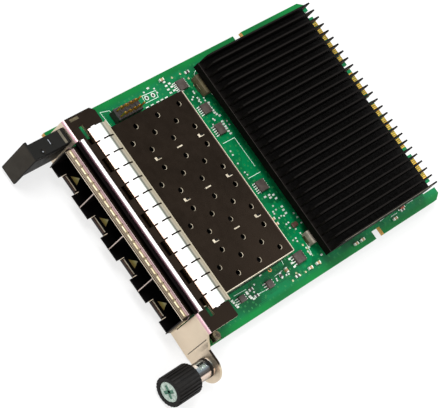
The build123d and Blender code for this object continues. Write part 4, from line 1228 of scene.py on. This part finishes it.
def make_screw_details():
    """A painted highlight on the bevel ring in the knob, a dark ring on the sleeve as painted shadow, and
    crossed slots in the small screws painted dark as their shade.
    """
    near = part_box("thumbscrew_knob")[0][1] / MM
    ring = screw_rod("knob_ring_highlight", near + 0.05, near + 0.39, 3.68, 64)
    cut(ring, screw_rod("inside", near - 1, near + 1, 3.26))
    soften(ring, 0.1)
    smooth(ring, 40)
    hand_over(ring, "line", "knob")
    collar = screw_rod("sleeve_shadow_ring", FRONT - 2.1, FRONT - 1.1, 2.98)
    cut(collar, screw_rod("inside", FRONT - 4, FRONT + 4, 2.86))
    smooth(collar, 40)
    hand_over(collar, "knob")
    boxes = []
    for x, y in FOOT_SCREWS:
        boxes += crossed(x, y, FOOT_SCREW_TOP, FOOT_SCREW_TOP + 0.02, 0.75, 0.14)
    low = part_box("heat_sink_screws")[0][2] / MM
    for x, y in SINK_SCREWS:
        boxes += crossed(x, y, low - 0.02, low, 1.1, 0.2)
    add_bars("screw_slot_shades", "hole", boxes, 0.005)


make_crease()
make_sink_highlights()
make_tab_details()
make_screw_details()


# Small soldered parts

CHIP_TAPER = 0.94
LEAD_WIDTH = 0.3
LEAD_THICKNESS = 0.12
HEADER_CELLS = 5
HEADER_PITCH = 2.0
PIN_POINT = 0.35


def node_parts(node):
    """Centres and sizes of a CAD node's separate solids."""
    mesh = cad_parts[node].data
    leader = list(range(len(mesh.vertices)))

    def head(i):
        while leader[i] != i:
            leader[i] = leader[leader[i]]
            i = leader[i]
        return i

    spots = {}
    for vert in mesh.vertices:
        key = tuple(round(c * 1e6) for c in vert.co)
        leader[vert.index] = spots.setdefault(key, vert.index)
    for edge in mesh.edges:
        leader[head(edge.vertices[0])] = head(edge.vertices[1])
    islands = {}
    for vert in mesh.vertices:
        islands.setdefault(head(vert.index), []).append(vert.co)
    parts = []
    for points in islands.values():
        low = [min(p[k] for p in points) / MM for k in range(3)]
        high = [max(p[k] for p in points) / MM for k in range(3)]
        parts.append((low, high))
    return sorted(parts)


def make_end_caps(name, node, height):
    """Tin ends on the node's two-ended parts."""
    reach, half, depth, proud = 0.8, 0.4, 0.36, 0.03
    caps = []
    for side in (-1, 1):
        start, end = sorted((side * (reach + proud), side * (reach - depth)))
        caps.append(block("cap", (start, -half - proud, 0), (end, half + proud, height + proud)))
    pair = soften(gather("pair", caps), 0.04, 1)
    spots = []
    for low, high in node_parts(node):
        turned = high[1] - low[1] > high[0] - low[0]
        spots.append(((low[0] + high[0]) / 2, (low[1] + high[1]) / 2, TOP, math.pi / 2 if turned else 0))
    return hand_over(lay(name, pair, spots), "tin")


def make_chip(node):
    """Moulded chip with a tapered body, a corner dimple and bent leads."""
    solids = node_parts(node)
    low, high = max(solids, key=lambda part: part[1][2] - part[0][2])
    body = block(node + "_body", (low[0], low[1], low[2] + 0.08), high)
    edit_faces(body, facing((0, 0, 1)))
    centre = [(a + b) / 2 * MM for a, b in zip(low, high)]
    bpy.ops.transform.resize(value=(CHIP_TAPER, CHIP_TAPER, 1), center_override=centre)
    leave_edit()
    soften(body, 0.06)
    cut(body, rod("dimple", (low[0] + 0.6, low[1] + 0.6, high[2]), 0.22, 0.12, "Z", 20))
    smooth(body)
    hand_over(body, "chip", "card", [node])
    leads = []
    for part_low, part_high in solids:
        if (part_low, part_high) == (low, high):
            continue
        ahead = part_low[1] < low[1]
        root, tip = (part_high[1], part_low[1]) if ahead else (part_low[1], part_high[1])
        knee, heel = root + (tip - root) * 0.3, root + (tip - root) * 0.5
        profile = ((root, 0.5), (knee, 0.48), (heel, 0.14), (tip, 0.12))
        lead = draw_sheet("lead", [(y, TOP + rise, LEAD_WIDTH) for y, rise in profile], LEAD_THICKNESS)
        lead.location.x = (part_low[0] + part_high[0]) / 2 * MM
        leads.append(settle(lead))
    return hand_over(gather(node + "_leads", leads), "tin")


def make_inductor(node, finish):
    """Pressed power inductor with a chamfered block and two wrapped ends."""
    low, high = in_mm(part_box(node))
    inner = (low[0] + 0.12, low[1] + 0.12, low[2] + 0.1)
    body = block(node + "_body", inner, (high[0] - 0.12, high[1] - 0.12, high[2]))
    edit_faces(body, facing((0, 0, 1)))
    bpy.ops.mesh.inset(thickness=0.3 * MM)
    bpy.ops.transform.translate(value=(0, 0, -0.06 * MM))
    leave_edit()
    soften(body, 0.35, 3)
    smooth(body)
    hand_over(body, finish, "card", [node])
    middle = (low[0] + high[0]) / 2
    ends = []
    for y0, y1 in ((low[1], low[1] + 0.6), (high[1] - 0.6, high[1])):
        ends.append(block("end", (middle - 1.3, y0, low[2]), (middle + 1.3, y1, low[2] + 1.3)))
    ends = soften(gather(node + "_ends", ends), 0.08)
    return hand_over(ends, "foot")


def make_header():
    """Pin header: chamfered plastic cells and pointed pins."""
    low, high = in_mm(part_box("header_base"))
    cells = []
    for i in range(HEADER_CELLS):
        y0 = low[1] + i * HEADER_PITCH
        cell = block("cell", (low[0], y0, low[2]), (high[0], y0 + HEADER_PITCH, high[2]))
        cells.append(soften(cell, 0.28, 1))
    base = gather("header_cells", cells)
    hand_over(base, "header", "card", ["header_base"])
    pins = []
    for pin_low, pin_high in node_parts("header_pins"):
        pin = block("pin", pin_low, (pin_high[0], pin_high[1], pin_high[2] - PIN_POINT))
        edit_faces(pin, facing((0, 0, 1)))
        bpy.ops.mesh.extrude_region_move(TRANSFORM_OT_translate={"value": (0, 0, PIN_POINT * MM)})
        centre = [(a + b) / 2 * MM for a, b in zip(pin_low, pin_high)]
        bpy.ops.transform.resize(value=(0.4, 0.4, 1), center_override=centre)
        leave_edit()
        pins.append(pin)
    return hand_over(gather("header_pointed_pins", pins), "gold", "card", ["header_pins"])


make_end_caps("capacitor_ends", "capacitors", 0.8)
make_end_caps("resistor_ends", "resistors", 0.5)
for chip in CHIPS:
    make_chip(chip)
make_inductor("inductor_left", "powder")
make_inductor("inductor_right", "powder_pale")
make_header()


# Small details on the board

STROKE_HALF = 0.09
STROKE_HEIGHT = 0.03


def scatter(name, finish, size, spots):
    """Small pads of one size at (x, y) spots on the board."""
    wide, deep, tall = size
    pad = soften(block("pad", (-wide / 2, -deep / 2, 0), (wide / 2, deep / 2, tall)), min(size) * 0.3, 1)
    return hand_over(lay(name, pad, level(spots, TOP)), finish)


def draw_lines(name, lines):
    """Thin printed lines from one (x, y) to another."""
    strokes = []
    for x0, y0, x1, y1 in lines:
        half = math.hypot(x1 - x0, y1 - y0) / 2
        stroke = block("stroke", (-half, -STROKE_HALF, 0), (half, STROKE_HALF, STROKE_HEIGHT))
        soften(stroke, 0.01, 1)
        stroke.location = Vector(((x0 + x1) / 2, (y0 + y1) / 2, TOP)) * MM
        stroke.rotation_euler = (0, 0, math.atan2(y1 - y0, x1 - x0))
        strokes.append(settle(stroke))
    return hand_over(gather(name, strokes), "print")


def frame_lines(corners):
    """The four sides of a printed frame."""
    return [(*corners[i], *corners[(i + 1) % 4]) for i in range(4)]


def make_rings(name, finish, spots, radius, width):
    """Flat rings round drilled holes."""
    ring = rod("ring", (0, 0, 0.02), radius, 0.05, "Z", 16)
    cut(ring, rod("inside", (0, 0, 0), radius - width, 1, "Z", 16))
    return hand_over(lay(name, ring, level(spots, TOP)), finish)


PADS_WIDE = (
    (-23.3, -57.5), (-22.3, -58.2), (-21.5, -57.9), (-20.6, -57.8), (-19.8, -57.8), (-19.1, -57.5),
    (-18.3, -56.8), (-16.4, -57.3), (-15.5, -57.5), (-14.6, -57.4), (-13.9, -57.5), (-12.9, -57.5),
    (-12.0, -57.3), (14.7, -57.5), (15.8, -57.8), (17.0, -57.7), (9.7, -60.8), (9.8, -59.0),
    (10.7, -59.2), (10.4, -57.6), (11.7, -57.5), (-35.1, -67.3), (-33.8, -67.5), (-32.5, -67.6),
    (-31.3, -67.5), (-34.0, -65.9), (-32.8, -65.8), (-31.5, -65.8), (29.1, -67.0), (30.5, -67.1),
    (31.8, -67.1), (30.5, -94.0), (31.2, -93.8), (32.1, -93.6), (32.8, -93.5), (30.6, -87.7),
    (31.1, -87.7), (32.1, -87.6), (32.7, -87.4), (33.3, -86.8), (-35.7, -73.9), (28.5, -79.9),
    (31.2, -53.8), (33.1, -55.7),
)
PADS_SMALL = (
    (-35.1, -76.1), (-34.7, -72.0), (-33.2, -71.9), (-30.2, -63.0), (-28.5, -60.0), (-27.9, -60.0),
    (-27.0, -61.3), (-26.5, -62.2), (-26.2, -60.1), (-25.5, -59.9), (-25.1, -60.3), (-24.5, -60.0),
    (-25.3, -58.0), (-24.4, -58.2), (-17.8, -59.6), (-18.3, -59.8), (-16.8, -61.2), (-15.8, -55.7),
    (-14.5, -55.8), (-7.3, -61.6), (-6.0, -61.7), (-3.0, -62.0), (0.3, -61.8), (1.3, -61.5),
    (13.2, -60.3), (14.6, -60.2), (14.7, -61.6), (15.4, -61.7), (17.0, -59.9), (17.4, -59.0),
    (17.2, -61.1), (19.9, -60.2), (21.4, -59.9), (22.6, -58.2), (19.8, -59.1), (21.1, -54.0),
    (21.8, -54.9), (18.2, -55.2), (19.8, -55.0), (24.9, -60.3), (25.9, -60.5), (25.0, -61.7),
    (24.3, -57.7), (29.2, -57.9), (28.9, -59.1), (30.1, -59.4), (31.2, -59.2), (29.9, -83.8),
    (31.7, -85.4), (31.9, -75.6), (32.5, -75.7), (31.7, -73.8), (32.6, -73.5), (32.6, -71.6),
    (32.7, -70.6), (-11.9, -53.4), (-11.0, -53.6), (-9.9, -53.4), (-26.2, -53.4), (-25.2, -54.3),
    (35.7, -22.9), (34.4, -19.0), (34.3, -16.0),
)
DASHES = [(-30.7, y) for y in (-78.2, -76.1, -73.7, -71.9, -70.0)]
VIAS = (
    (-34.8, -57.4), (-32.7, -58.4), (-30.0, -58.1), (-35.2, -63.7), (-35.1, -60.2), (34.9, -61.6),
    (34.9, -64.7), (34.8, -67.2), (33.7, -68.0), (35.0, -70.7), (35.0, -58.0), (27.7, -59.5),
    (29.2, -58.9), (30.6, -59.2),
)
PRINTED = [
    (-33.1, -55.7, -25.9, -55.8), (-33.1, -55.7, -34.4, -53.3), (-10.4, -62.2, -10.3, -57.1),
    (-10.3, -57.1, 0.3, -57.0), (2.4, -62.1, 2.5, -56.5), (4.8, -61.0, 8.2, -61.1),
    (24.8, -57.5, 32.0, -58.8), (28.0, -69.8, 29.6, -70.1), (29.6, -92.4, 29.8, -87.1),
    (31.1, -75.6, 30.8, -71.9), (32.8, -85.6, 33.0, -81.7), (34.0, -14.8, 34.1, -11.3),
    (34.8, -20.2, 34.8, -23.3), (34.1, -28.2, 34.0, -25.9),
]
PRINTED += frame_lines(((-34.4, -77.5), (-34.1, -71.85), (-31.94, -72.45), (-32.01, -77.85)))
PRINTED += frame_lines(((-35.8, -94.05), (-35.0, -90.7), (-30.3, -90.9), (-30.4, -93.65)))
HOLES = ((-33.26, -76.36), (-33.14, -73.73))

scatter("solder_pads", "tin", (0.58, 0.95, 0.1), PADS_WIDE)
scatter("solder_spots", "tin", (0.52, 0.56, 0.18), PADS_SMALL)
scatter("board_dashes", "tin", (0.35, 1.2, 0.06), DASHES)
draw_lines("printed_lines", PRINTED)
make_rings("via_rings", "crest", VIAS, 0.32, 0.16)
make_rings("footprint_rings", "tin", HOLES, 0.75, 0.3)
make_rings("copper_ring", "copper", ((28.7, -75.7),), 0.7, 0.3)
# Dark pads as painted shade inside the footprint's drilled holes.
scatter("footprint_hole_shades", "hole", (0.7, 0.7, 0.03), HOLES)
scatter("red_part", "red_part", (0.8, 1.9, 0.6), ((34.3, -17.4),))
scatter("three_lead_part", "brown", (1.5, 2.4, 0.9), ((21.3, -57.9),))


bpy.context.scene.view_settings.view_transform = "Standard"
